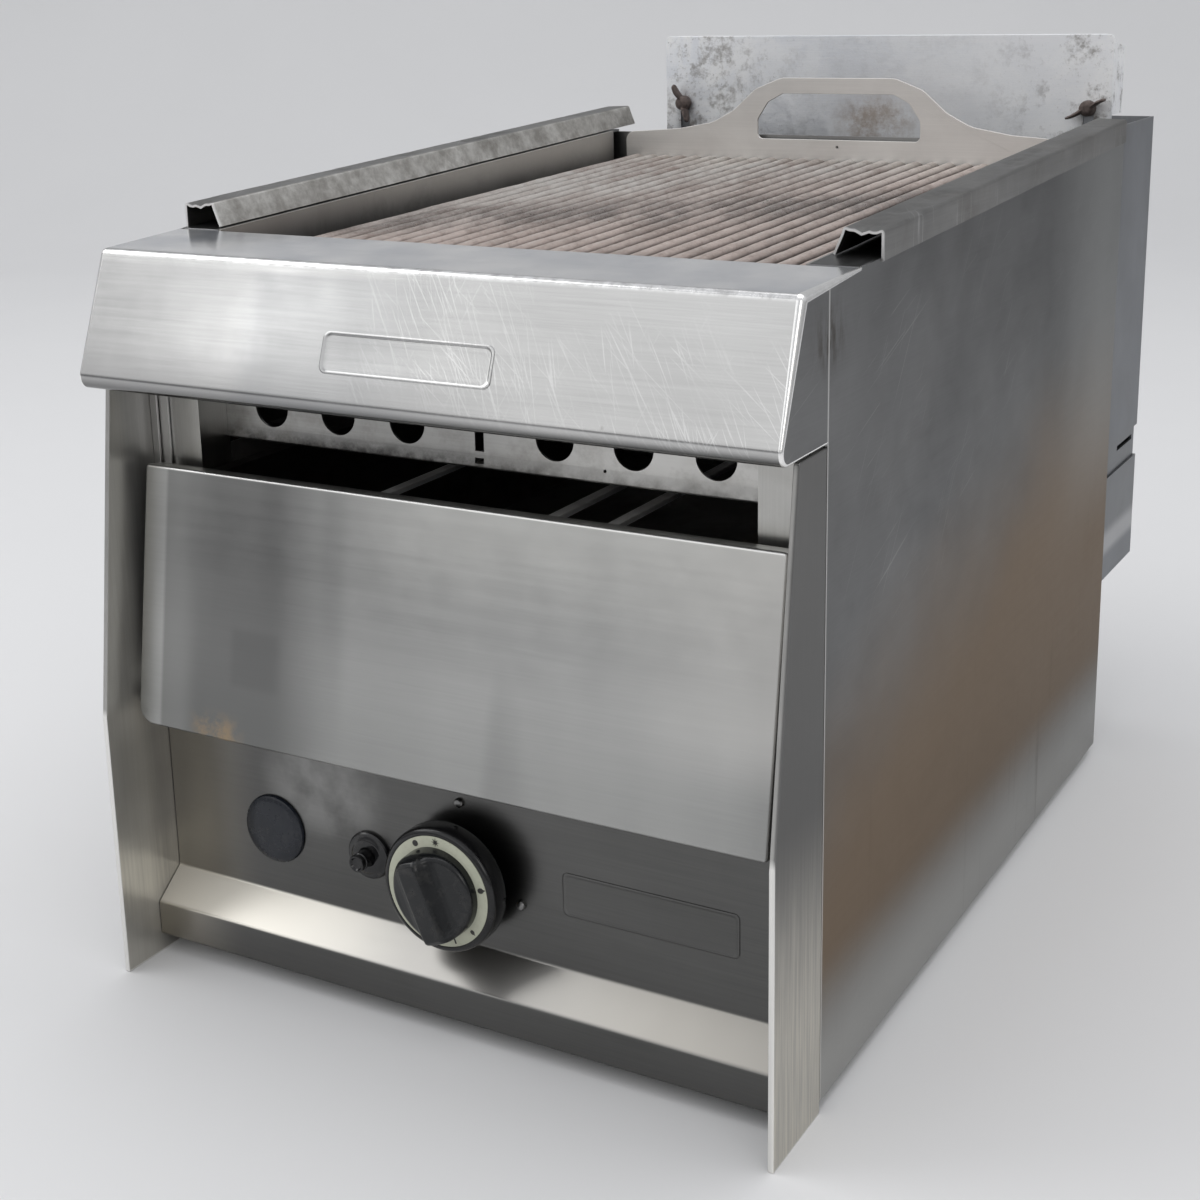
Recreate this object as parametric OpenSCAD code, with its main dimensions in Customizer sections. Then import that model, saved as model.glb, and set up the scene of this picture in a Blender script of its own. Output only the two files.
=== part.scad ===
// Modular gas chargrill, one burner zone, bench standing.
// Frame: +Z up, +X to the right of the cook, -Y is the front. Origin at
// floor level in the middle of the footprint. Millimetres.

/* [Body] */
// Outer width over the side panels
body_w = 400; // [390:1:420]
// Sheet thickness of the outer casing
sheet = 1.5; // [1.2:0.1:1.6]
// Height of the hood's front top edge
hood_h = 408; // [406:0.5:409]
// Lowest edge of the hood's rolled lip
lip_z = 336.5; // [336:0.5:338]

/* [Top] */
// Slope of the top rails, rise per millimetre towards the rear
rail_slope = 0.0389; // [0.03:0.001:0.04]
// Front end of the left rail
rail_left_front = -229; // [-232:1:-200]
// Rear end of the left rail, past the back of the casing
rail_left_rear = 256; // [226:1:262]
// Front end of the right rail
rail_right_front = -211; // [-232:1:-200]
// Height of the splash back's top edge
splash_top = 493; // [480:1:510]
// Half width of the splash back
splash_hw = 172; // [170:0.5:176]

/* [Grate] */
// Number of grate ribs
rib_n = 27; // [21:1:27]
// Rib pitch
rib_pitch = 11.9; // [10:0.1:11.9]
// Rib width
rib_w = 8.6; // [6:0.1:9]
// Sideways rest position of the loose grate
grate_x = 4; // [0:0.5:5]

/* [Controls] */
// Height of the gas knob's axis
knob_z = 85.5; // [80:0.5:90]
// Radius of the knob's skirt
knob_r = 34.5; // [30:0.5:36]
// Angle of the knob's grip at rest, turned from upright
knob_tilt = 22; // [0:1:30]
// Igniter's distance left of the knob
igniter_x = -58.5; // [-64:0.5:-56]
// Blanking plug's distance left of the knob
plug_x = -123; // [-130:0.5:-115]

/* [Hidden] */

t = sheet;
xo = body_w / 2;          // outer face of the side panels
xi = xo - t;              // inner face of the side panels
y_seam = -272.5;          // joint between cheek and side panel
y_back = 226;             // rear edge of the side panels
y_duct = 303.5;           // rear face of the flue casing
y_hood = -236;            // rear edge of the hood's top plate
z_hood_rear = 410.5;
y_panel = -280.5;         // front face of the control panel
rail_h = 13;
rail_a = atan(rail_slope);
grate_a = 1.66;
y_grate = -165;           // grate's datum line
z_grate = 401.5;
z_wing = 443;
x_wing = 156;
steel = [0.66, 0.66, 0.65];
dark_steel = [0.35, 0.33, 0.32];
greasy = [0.45, 0.40, 0.37];
black = [0.06, 0.06, 0.07];
cream = [0.80, 0.79, 0.66];
brass = [0.78, 0.62, 0.30];
copper = [0.72, 0.42, 0.28];

function zt(y) = z_hood_rear + (y - y_hood) * rail_slope;   // side top line
function zr(y) = zt(y) + rail_h;                            // rail top line
function unit(v) = v / norm(v);
function nrm(a, b) = let(d = unit(b - a)) [-d[1], d[0]];
function mit(p, i, w) = let(n = len(p))
  i == 0 ? p[0] + w * nrm(p[0], p[1]) :
  i == n - 1 ? p[n - 1] + w * nrm(p[n - 2], p[n - 1]) :
  let(a = nrm(p[i - 1], p[i]), b = nrm(p[i], p[i + 1]), m = unit(a + b))
    p[i] + m * w / (m * a);
// closed outline of a folded sheet: outer line plus the line w inside it
function folded(p, w) = concat(p, [for (i = [len(p) - 1:-1:0]) mit(p, i, w)]);
// replaces corner i of an outline by an arc of radius r with n steps
function corner(a, b, c, r, n) = r <= 0 ? [b] :
  let(u = unit(a - b), v = unit(c - b), h = acos(u * v) / 2,
      d = r / tan(h), m = b + unit(u + v) * r / sin(h),
      s = b + u * d - m, e = b + v * d - m,
      a0 = atan2(s[1], s[0]), a1 = atan2(e[1], e[0]),
      da = (a1 - a0) > 180 ? a1 - a0 - 360 : (a1 - a0) < -180 ? a1 - a0 + 360 : a1 - a0)
  [for (k = [0:n]) m + r * [cos(a0 + da * k / n), sin(a0 + da * k / n)]];
// open line with rounded corners; q holds [point, radius]
function bent(q, n = 4) = [for (i = [0:len(q) - 1])
  each ((i == 0 || i == len(q) - 1) ? [q[i][0]] : corner(q[i - 1][0], q[i][0], q[i + 1][0], q[i][1], n))];
// closed outline with rounded corners
function ring(q, n = 4) = let(m = len(q)) [for (i = [0:m - 1])
  each corner(q[(i + m - 1) % m][0], q[i][0], q[(i + 1) % m][0], q[i][1], n)];

// outline in Y-Z, drawn out along X from x0 to x1
module along_x(pts, x0, x1) {
  translate([x0, 0, 0]) rotate([90, 0, 90]) linear_extrude(x1 - x0) polygon(pts);
}
module box(a, b) { translate(a) cube(b - a); }
module xbox(s, x0, x1, y0, y1, z0, z1) {
  if (s > 0) box([x0, y0, z0], [x1, y1, z1]); else box([-x1, y0, z0], [-x0, y1, z1]);
}
module rod(a, b, r, fn = 32) {
  d = b - a; L = norm(d);
  translate(a) rotate([0, acos(d[2] / L), atan2(d[1], d[0])]) cylinder(h = L, r = r, $fn = fn);
}
module pipe_run(p, r, fn = 32) {
  for (i = [0:len(p) - 2]) rod(p[i], p[i + 1], r, fn);
  for (i = [1:len(p) - 2]) translate(p[i]) sphere(r = r * 1.06 + 0.1, $fn = fn);
}
module ycyl(x, z, y0, y1, r, fn = 48) {
  translate([x, y0, z]) rotate([-90, 0, 0]) cylinder(h = y1 - y0, r = r, $fn = fn);
}

hood_line = bent([
  [[y_hood, 398], 0], [[y_hood, z_hood_rear], 2], [[-299.5, hood_h], 4],
  [[-299.5 - (hood_h - lip_z) * 0.368, lip_z], 7], [[-300, lip_z], 0]], 6);
side_line = concat(
  [[y_seam, 6.5], [y_back, 6.5], [y_back, zt(y_back)], [y_hood, z_hood_rear]],
  corner([y_hood, z_hood_rear], [-299.5, hood_h], [-299.5 - (hood_h - lip_z) * 0.368, lip_z], 4, 6),
  corner([-299.5, hood_h], [-299.5 - (hood_h - lip_z) * 0.368, lip_z], [y_seam, lip_z], 7, 6),
  [[y_seam, lip_z]]);

// ---------- outer casing ----------
module side_panel(s) {
  color(steel) {
    along_x(side_line, s > 0 ? xi : -xo, s > 0 ? xo : -xi);
    // top flange that carries the rail
    along_x([[-234.5, zt(-234.5) - t], [y_back, zt(y_back) - t], [y_back, zt(y_back)], [-234.5, zt(-234.5)]],
      s > 0 ? 174 : -xi, s > 0 ? xi : -174);
    // hemmed front edge and bottom flange
    xbox(s, 186, xi, y_seam, y_seam + t, 9.7, 335);
    xbox(s, 180, xi, y_seam, 224, 6.5, 8);
  }
}
module side_panel_left() { side_panel(-1); }
module side_panel_right() { side_panel(1); }

module cheek(s) {
  color(steel) {
    along_x([[-328, 0], [-273, 0], [-273, 335.5], [-303.8, 335.5], [-328, 153]],
      s > 0 ? 197 : -xo, s > 0 ? xo : -197);
    xbox(s, 192, 197, -274.5, -273, 150, 335.5);
    xbox(s, 186, 197, -274.5, -273, 14, 144);
  }
}
module cheek_left() { cheek(-1); }
module cheek_right() { cheek(1); }

module front_hood() {
  color(steel) {
    along_x(folded(hood_line, t), -xi, xi);
    // blank pressed plaque on the sloping face
    translate([0, -299.5, hood_h]) rotate([atan2(0.368, 1), 0, 0])
      translate([-46, -0.5, -54]) rotate([90, 0, 0]) translate([0, 0, -1])
        linear_extrude(1.2) polygon(ring([[[0, 0], 4], [[98, 0], 4], [[98, 21], 4], [[0, 21], 4]]));
  }
}

module control_panel() {
  line = bent([[[-262, 146], 0], [[y_panel, 146], 2.2], [[y_panel, 46.5], 2.2],
    [[-300, 31], 2.2], [[-300, 10.5], 2.2], [[-286, 10.5], 0]], 4);
  color(steel) {
    difference() {
      along_x(folded(line, t), -196.6, 196.6);
      ycyl(0, knob_z, y_panel - 2, y_panel + 4, 9);
      ycyl(igniter_x, 83.5, y_panel - 2, y_panel + 4, 11);
      ycyl(plug_x, 85, y_panel - 2, y_panel + 4, 17.5);
      for (s = [-1, 1]) xbox(s, 185.5, 200, -273.2, -260, 140, 150);
    }
    // blank pressed plaque
    translate([62, y_panel + 0.4, 77]) rotate([90, 0, 0]) linear_extrude(1)
      polygon(ring([[[0, 0], 3], [[99, 0], 3], [[99, 24], 3], [[0, 24], 3]]));
  }
}

module bottom_pan() {
  color(steel) difference() {
    box([-196.5, -284, 8], [196.5, 224.4, 9.5]);
    for (x = [-158, 158], y = [-240, 190]) translate([x, y, 0]) cylinder(h = 20, r = 6, $fn = 48);
  }
}

module rear_panel() {
  color(steel) difference() {
    box([-xi, 224.5, 9.5], [xi, y_back, 332]);
    ycyl(150, 60, 220, 230, 10.8);
  }
}
module rear_top_strip() { color(steel) box([-xi, 224.5, 392], [xi, y_back, zt(224.5) - t]); }

module jamb(s) {
  color(steel) {
    xbox(s, 165.5, 196.5, -270.8, -269.3, 151.7, 396);
    xbox(s, 165.5, 167, -269.4, -246.5, 151.7, 396);
  }
}
module jamb_left() { jamb(-1); }
module jamb_right() { jamb(1); }

module front_baffle() {
  color(steel) difference() {
    union() {
      box([-165.4, -248, 298], [165.4, -246.5, 396]);
      box([-165.4, -246.5, 298], [165.4, -246.4 + 6.4, 299.5]);
    }
    for (x = [44.5, 89, 133.5], s = [-1, 1]) ycyl(s * x, 317.5, -252, -244, 11);
    box([-2.7, -252, 307], [2.7, -244, 326]);
    box([-2.7, -252, 301], [2.7, -244, 303.6]);
  }
}

// ---------- firebox and drawer bay ----------
module liner(s) {
  color(dark_steel) {
    difference() {
      along_x([[-234.3, 296], [214, 296], [214, zt(214)], [-234.3, zt(-234.3)]],
        s > 0 ? 172.4 : -173.9, s > 0 ? 173.9 : -172.4);
      xbox(s, 170, 176, -236, -204, 320, 362);
    }
    // ledge under the grate
    translate([0, y_grate, z_grate]) rotate([grate_a, 0, 0])
      xbox(s, 160, 172.4, -64, 376, -24, -22.4);
  }
}
module liner_left() { liner(-1); }
module liner_right() { liner(1); }
module firebox_rear() { color(dark_steel) box([-172.3, 214, 296], [172.3, 215.5, 330]); }
module bay_side(s) {
  color(dark_steel) {
    xbox(s, 165.5, 167, -246.4, 214, 151.6, 294.5);
    xbox(s, 165.5, 198.4, -203, 214, 294.5, 296);
  }
}
module bay_side_left() { bay_side(-1); }
module bay_side_right() { bay_side(1); }
module bay_floor() { color(dark_steel) box([-167.2, -260, 150], [167.2, 214, 151.5]); }
module drawer_runners() {
  color(steel) for (s = [-1, 1]) {
    xbox(s, 164.2, 165.4, -246, 200, 258, 282.5);
    xbox(s, 158.6, 164.2, -246, 200, 281, 282.5);
  }
}

// ---------- rails on top of the sides ----------
module rail(s, y0, y1) {
  L = (y1 - y0) / cos(rail_a);
  pr = bent([[[xo + 1.25, -rail_h - 1.4], 0], [[xo + 1.25, 0], 2], [[181.5, 0.8], 2],
    [[176.4, 0.7 - rail_h], 0]], 4);
  color(steel)
  translate([0, y1, zr(y1)]) rotate([rail_a, 0, 0]) rotate([90, 0, 0])
    linear_extrude(L) scale_x(s) polygon(folded(pr, 1.2));
}
module scale_x(s) { if (s > 0) children(); else mirror([1, 0, 0]) children(); }
module rail_left() { rail(-1, rail_left_front, rail_left_rear); }
module rail_right() { rail(1, rail_right_front, y_back); }

// ---------- flue casing behind the body ----------
module flue_upper() {
  color(steel) difference() {
    union() {
      difference() {
        box([-xo, y_back, 222], [xo, y_duct, 438]);
        box([-xi, y_back - 1, 221], [xi, y_duct - t, 439]);
      }
      box([-165, y_duct - t, 437], [165, y_duct, 452]);
      for (s = [-1, 1]) ycyl(s * x_wing, z_wing, y_duct, 308.5, 6);
    }
    // the left wall is cut down under the end of the rail and behind it
    box([-xo - 1, y_back - 1, 427], [-172.5, 257, 439]);
    box([-xo - 1, 256, 416.5], [-172.5, y_duct + 1, 439]);
    for (s = [-1, 1]) ycyl(s * x_wing, z_wing, 300, 310, 3.05);
  }
}
module flue_lower() {
  color(steel) difference() {
    box([-xo, y_back, 127], [xo, y_duct, 200]);
    box([-xi, y_back - 1, 128.5], [xi, y_duct - t, 201]);
  }
}
module flue_joint_band() {
  color(steel) difference() {
    box([-xi + 0.1, y_back, 190], [xi - 0.1, y_duct - t - 0.1, 232]);
    box([-xi + 1.6, y_back - 1, 189], [xi - 1.6, y_duct - 2 * t - 0.1, 233]);
    for (s = [-1, 1]) xbox(s, 190, 205, 256, 296, 212.5, 216);
  }
}
module flue_front_strip() { color(steel) box([-xi + 0.1, y_back + 0.7, 409.4], [xi - 0.1, 236, 411]); }

// ---------- burners and gas train ----------
module burner(s) {
  color(dark_steel) difference() {
    ycyl(s * 78, 335, -214, 195, 15);
    ycyl(s * 78, 335, -216, 192, 13.2);
    for (k = [0:11], q = [-1, 1]) translate([s * 78, -190 + k * 33, 335]) rotate([0, q * 38, 0])
      box([-1, -10, 10], [1, 10, 20]);
  }
}
module burner_left() { burner(-1); }
module burner_right() { burner(1); }
module burner_supports() {
  color(dark_steel) for (y = [-195, 170]) difference() {
    box([-172.2, y, 308], [172.2, y + 3, 326]);
    for (s = [-1, 1]) ycyl(s * 78, 335, y - 1, y + 4, 15.1);
  }
}
module radiant(s) {
  y0 = -200; y1 = 205;
  color(dark_steel) {
    translate([0, y1, 0]) rotate([90, 0, 0]) linear_extrude(y1 - y0)
      polygon(folded([[s * 78 + 36, 352.6], [s * 78, 372], [s * 78 - 36, 352.6]], t));
    for (y = [-150, 150]) box([s > 0 ? 28 : -172.2, y, 350.6], [s > 0 ? 172.2 : -28, y + 14, 352.6]);
  }
}
module radiant_left() { radiant(-1); }
module radiant_right() { radiant(1); }
yg = -237;
module gas_manifold() {
  color(brass) difference() {
    union() {
      rod([-86, yg, 335], [140, yg, 335], 7);
      for (s = [-1, 1]) rod([s * 78, yg, 335], [s * 78, yg + 10, 335], 6);
      rod([140, yg, 335], [152, yg, 335], 9, 6);
    }
    rod([-82, yg, 335], [153, yg, 335], 4.5);
  }
}
module gas_feed_pipe() {
  color(copper) pipe_run([[152, yg, 335], [183, yg, 335], [183, yg, knob_z], [22, yg, knob_z]], 6);
}
module gas_injectors() {
  color(brass) for (s = [-1, 1]) difference() {
    union() {
      rod([s * 78, yg + 10, 335], [s * 78, yg + 15, 335], 6, 6);
      rod([s * 78, yg + 15, 335], [s * 78, yg + 22, 335], 3.6);
    }
    rod([s * 78, yg + 12, 335], [s * 78, yg + 23, 335], 0.9, 24);
  }
}
module gas_inlet_pipe() {
  color(copper) pipe_run([[150, 212, 60], [150, yg, 60], [0, yg, 60], [0, yg, knob_z - 16]], 6);
}
module gas_inlet_fitting() {
  color(brass) difference() {
    union() {
      ycyl(150, 60, 212, 224.4, 14, 6);
      ycyl(150, 60, 224.4, 226.4, 10.6);
      ycyl(150, 60, 226.4, 232, 14, 6);
      ycyl(150, 60, 232, 248, 10.45);
    }
    ycyl(150, 60, 213, 250, 6);
  }
}
module gas_valve_body() {
  color(brass) difference() {
    union() {
      ycyl(0, knob_z, -282, -279, 8.6);
      ycyl(0, knob_z, -279, -262, 13);
      ycyl(0, knob_z, -262, -228, 16);
      rod([14, yg, knob_z], [22, yg, knob_z], 9, 6);
    }
    ycyl(0, knob_z, -284, -276, 4.3);
    ycyl(0, knob_z, -277, -262, 9.5);
    ycyl(0, knob_z, -263, -244, 4.06);
  }
}
module pilot_burner() {
  color(copper) {
    pipe_run([[9, -228, 91], [9, -221, 91], [193.6, -221, 91], [193.6, -221, 342], [112, -221, 342]], 2, 24);
    rod([115, -221, 342], [101, -221, 342], 4.5, 24);
  }
}
module thermocouple() {
  color(copper) {
    pipe_run([[0, -228, 79], [0, -211, 79], [170, -211, 79], [170, -211, 356], [112, -211, 356]], 1.4, 24);
    rod([115, -211, 356], [96, -211, 356], 2.4, 24);
  }
}
module piezo_igniter() {
  color(black) difference() {
    union() {
      ycyl(igniter_x, 83.5, -284, y_panel, 13.6);
      ycyl(igniter_x, 83.5, y_panel, -242, 10.6);
      ycyl(igniter_x, 83.5, -279, -273, 14.5, 6);
    }
    ycyl(igniter_x, 83.5, -285, -262, 4.86);
  }
}
module ignition_lead() {
  color(black) pipe_run([[igniter_x, -242, 83.5], [igniter_x, -226, 83.5], [-178, -226, 83.5],
    [-178, -226, 346], [-112, -226, 346]], 2.4, 24);
}
module spark_electrode() {
  color([0.9, 0.88, 0.82]) rod([-112, -226, 346], [-99, -226, 346], 4, 24);
}
module blanking_plug() {
  color(black) {
    translate([plug_x, y_panel, 85]) rotate([90, 0, 0]) rotate_extrude($fn = 64)
      polygon([[0, 0], [20, 0], [20, 1.6], [18.6, 2.9], [12, 3.6], [0, 3.8]]);
    difference() {
      ycyl(plug_x, 85, y_panel, -270, 17.2);
      ycyl(plug_x, 85, y_panel + 2, -269, 15);
    }
  }
}
module panel_pins() {
  color(steel) {
    ycyl(0.8, 126.4, y_panel - 2.6, y_panel, 2.6, 24);
    ycyl(37, 76.5, y_panel - 2.6, y_panel, 2.6, 24);
  }
}
module foot_nuts() {
  color(steel) for (x = [-158, 158], y = [-240, 190]) translate([x, y, 9.5]) difference() {
    cylinder(h = 9, r = 9.5, $fn = 6);
    translate([0, 0, -1]) cylinder(h = 11, r = 5.05, $fn = 48);
  }
}

// ---------- drawer ----------
da = atan2(22, 142);      // lean of the drawer front
module on_front() { translate([0, -312, 148]) rotate([-da, 0, 0]) children(); }
module drawer_front() {
  H = 142 / cos(da);
  o = ring([[[-189, 0], 10], [[189, 0], 10], [[189, H], 2], [[-189, H], 2]], 8);
  i = ring([[[-187.5, t], 8.5], [[187.5, t], 8.5], [[187.5, H - t], 1], [[-187.5, H - t], 1]], 8);
  color(steel) on_front() {
    translate([0, t, 0]) rotate([90, 0, 0]) linear_extrude(t) polygon(o);
    translate([0, 12, 0]) rotate([90, 0, 0]) linear_extrude(12 - t) difference() { polygon(o); polygon(i); }
    for (x = [-120, 90]) box([x, t, 55], [x + 30, 12, 120]);
  }
}
function front_y(z, d) = -312 + (z - 148) * tan(da) + d / cos(da);
module water_tray() {
  w = 1.2; d = 12.02;
  color(steel) {
    difference() {
      along_x([[front_y(188, d), 188], [190, 188], [190, 284], [front_y(284, d), 284]], -156, 156);
      along_x([[front_y(188 + w, d + w), 188 + w], [190 - w, 188 + w], [190 - w, 285], [front_y(285, d + w), 285]],
        -156 + w, 156 - w);
    }
    for (s = [-1, 1]) xbox(s, 155.5, 163, -270, 190, 282.8, 284);
  }
}
module tray_tie_bars() {
  color(steel) for (x = [-42, 58, 91]) box([x - 3, -276, 284], [x + 3, 189.6, 286.6]);
}

// ---------- grate ----------
module on_grate() { translate([grate_x, y_grate, z_grate]) rotate([grate_a, 0, 0]) children(); }
module grate_rack() {
  color(greasy) on_grate() {
    for (k = [0:rib_n - 1]) translate([(k - (rib_n - 1) / 2) * rib_pitch, 382, 0]) rotate([90, 0, 0])
      linear_extrude(449) union() {
        translate([0, -rib_w / 2]) circle(r = rib_w / 2, $fn = 32);
        translate([-rib_w / 2, -10]) square([rib_w, 10 - rib_w / 2]);
      }
    for (v = [-55, 75, 210, 345]) box([-rib_pitch * (rib_n - 1) / 2 - rib_w / 2, v, -22], [rib_pitch * (rib_n - 1) / 2 + rib_w / 2, v + 6, -9]);
  }
}
module handle_plate() {
  h = [[[0, 54.8], 0], [[42, 54.8], 18], [[62, 47], 18], [[79, 32], 14], [[96, 23], 30],
       [[124, 18], 30], [[167, 15], 7], [[167, -12], 1]];
  full = concat([for (k = [len(h) - 1:-1:1]) [[-h[k][0][0], h[k][0][1]], h[k][1]]], [for (k = [1:len(h) - 1]) h[k]]);
  c = [[[60.5, 12.2], 4], [[60.5, 26], 5], [[52.5, 38], 8], [[41, 44], 6]];
  cut = concat([for (k = [3:-1:0]) [[-c[k][0][0], c[k][0][1]], c[k][1]]], [for (k = [0:3]) c[k]]);
  color(steel) on_grate() translate([0, 384, 0]) rotate([90, 0, 0]) linear_extrude(2) difference() {
    polygon(ring(full, 6));
    polygon(ring(cut, 4));
  }
}

// ---------- splash back ----------
module splash_back() {
  hw = splash_hw; y0 = y_duct - 2 * t;
  color(steel) difference() {
    union() {
      translate([0, y0 + t - 0.05, 0]) rotate([90, 0, 0]) linear_extrude(t - 0.05)
        polygon(ring([[[-hw, 414], 2], [[hw, 414], 2], [[hw, splash_top], 5], [[-hw, splash_top], 5]], 5));
      for (s = [-1, 1]) along_x([[y0 + t - 0.1, 438.5], [328, 438.5], [328, splash_top - 9], [y0 + t - 0.1, splash_top - 5]],
        s > 0 ? hw - t : -hw, s > 0 ? hw : -hw + t);
      box([-hw + 8, y0 + t - 0.1, splash_top - t], [hw - 8, y0 + 12, splash_top]);
    }
    for (s = [-1, 1]) {
      ycyl(s * x_wing, z_wing, y0 - 2, y0 + 3, 3.7);
      box([s * x_wing - 3.7, y0 - 2, 410], [s * x_wing + 3.7, y0 + 3, z_wing]);
    }
  }
}
module wing_screw(s, a) {
  y0 = y_duct - 2 * t;
  color([0.30, 0.20, 0.16]) translate([s * x_wing, 0, z_wing]) rotate([0, a, 0]) {
    ycyl(0, 0, y0 - 0.3, 309, 3);
    ycyl(0, 0, y0 - 9, y0 - 0.3, 5.6);
    for (q = [-1, 1]) {
      translate([q * 10, y0 - 9, 0]) rotate([0, 0, 0]) translate([0, 0, -1.3]) cylinder(h = 2.6, r = 5.4, $fn = 32);
      box([q > 0 ? 3 : -9, y0 - 8, -1.3], [q > 0 ? 9 : -3, y0 - 1.5, 1.3]);
    }
  }
}
module wing_screw_left() { wing_screw(-1, 70); }
module wing_screw_right() { wing_screw(1, -24); }

// ---------- knob train ----------
module thrust_collar() {
  color(steel) difference() {
    ycyl(0, knob_z, -272, -269, 8.6);
    ycyl(0, knob_z, -273, -268, 4.05);
  }
}
module valve_stem() {
  color(brass) ycyl(0, knob_z, -316, -250, 4);
}
module gas_knob() {
  color(black) translate([0, 0, knob_z]) rotate([0, -knob_tilt, 0]) difference() {
    union() {
      rotate([90, 0, 0]) rotate_extrude($fn = 72)
        polygon([[0, 286], [15, 286], [15, 290], [knob_r - 1.5, 290], [knob_r, 291.5], [knob_r, 301.5],
                 [knob_r - 1.2, 303], [0, 303]]);
      intersection() {
        ycyl(0, 0, -321, -302, 27.5, 64);
        box([-14, -321, -28], [14, -302, 28]);
      }
    }
    ycyl(0, 0, -316.02, -285, 4);
  }
}
module igniter_button() {
  color(black) {
    ycyl(igniter_x, 83.5, -294, -270, 4.8);
  }
}

// ---------- feet ----------
module foot(x, y) {
  color(dark_steel) translate([x, y, 0]) {
    rotate_extrude($fn = 48) polygon([[0, 0], [17, 0], [18, 1.2], [18, 4.5], [15, 7], [0, 7]]);
    cylinder(h = 34, r = 5, $fn = 48);
  }
}
module foot_front_left() { foot(-158, -240); }
module foot_front_right() { foot(158, -240); }
module foot_rear_left() { foot(-158, 190); }
module foot_rear_right() { foot(158, 190); }

side_panel_left();
side_panel_right();
cheek_left();
cheek_right();
front_hood();
control_panel();
bottom_pan();
rear_panel();
rear_top_strip();
jamb_left();
jamb_right();
front_baffle();
liner_left();
liner_right();
firebox_rear();
bay_side_left();
bay_side_right();
bay_floor();
drawer_runners();
rail_left();
rail_right();
flue_upper();
flue_lower();
flue_joint_band();
flue_front_strip();
burner_left();
burner_right();
burner_supports();
radiant_left();
radiant_right();
gas_manifold();
gas_feed_pipe();
gas_inlet_pipe();
gas_inlet_fitting();
gas_injectors();
gas_valve_body();
pilot_burner();
thermocouple();
piezo_igniter();
ignition_lead();
spark_electrode();
blanking_plug();
panel_pins();
foot_nuts();
drawer_front();
water_tray();
tray_tie_bars();
grate_rack();
handle_plate();
splash_back();
wing_screw_left();
wing_screw_right();
thrust_collar();
gas_knob();
valve_stem();
igniter_button();
foot_front_left();
foot_front_right();
foot_rear_left();
foot_rear_right();
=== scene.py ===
import math
import random

import bmesh
import bpy
import numpy as np
from mathutils import Matrix, Vector, noise


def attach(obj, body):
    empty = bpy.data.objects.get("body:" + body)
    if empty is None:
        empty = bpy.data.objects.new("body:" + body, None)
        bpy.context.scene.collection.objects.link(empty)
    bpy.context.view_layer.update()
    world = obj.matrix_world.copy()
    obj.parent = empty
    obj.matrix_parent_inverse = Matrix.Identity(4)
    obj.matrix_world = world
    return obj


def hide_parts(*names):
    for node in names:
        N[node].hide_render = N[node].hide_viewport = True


random.seed(7)
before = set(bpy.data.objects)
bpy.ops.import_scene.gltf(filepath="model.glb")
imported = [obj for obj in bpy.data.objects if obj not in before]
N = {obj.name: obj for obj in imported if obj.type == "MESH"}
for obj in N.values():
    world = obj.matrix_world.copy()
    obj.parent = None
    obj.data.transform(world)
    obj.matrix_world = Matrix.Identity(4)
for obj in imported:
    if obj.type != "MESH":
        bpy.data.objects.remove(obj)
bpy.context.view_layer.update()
MM = 0.001

# ------------------------------------------------------------------ materials


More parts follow.
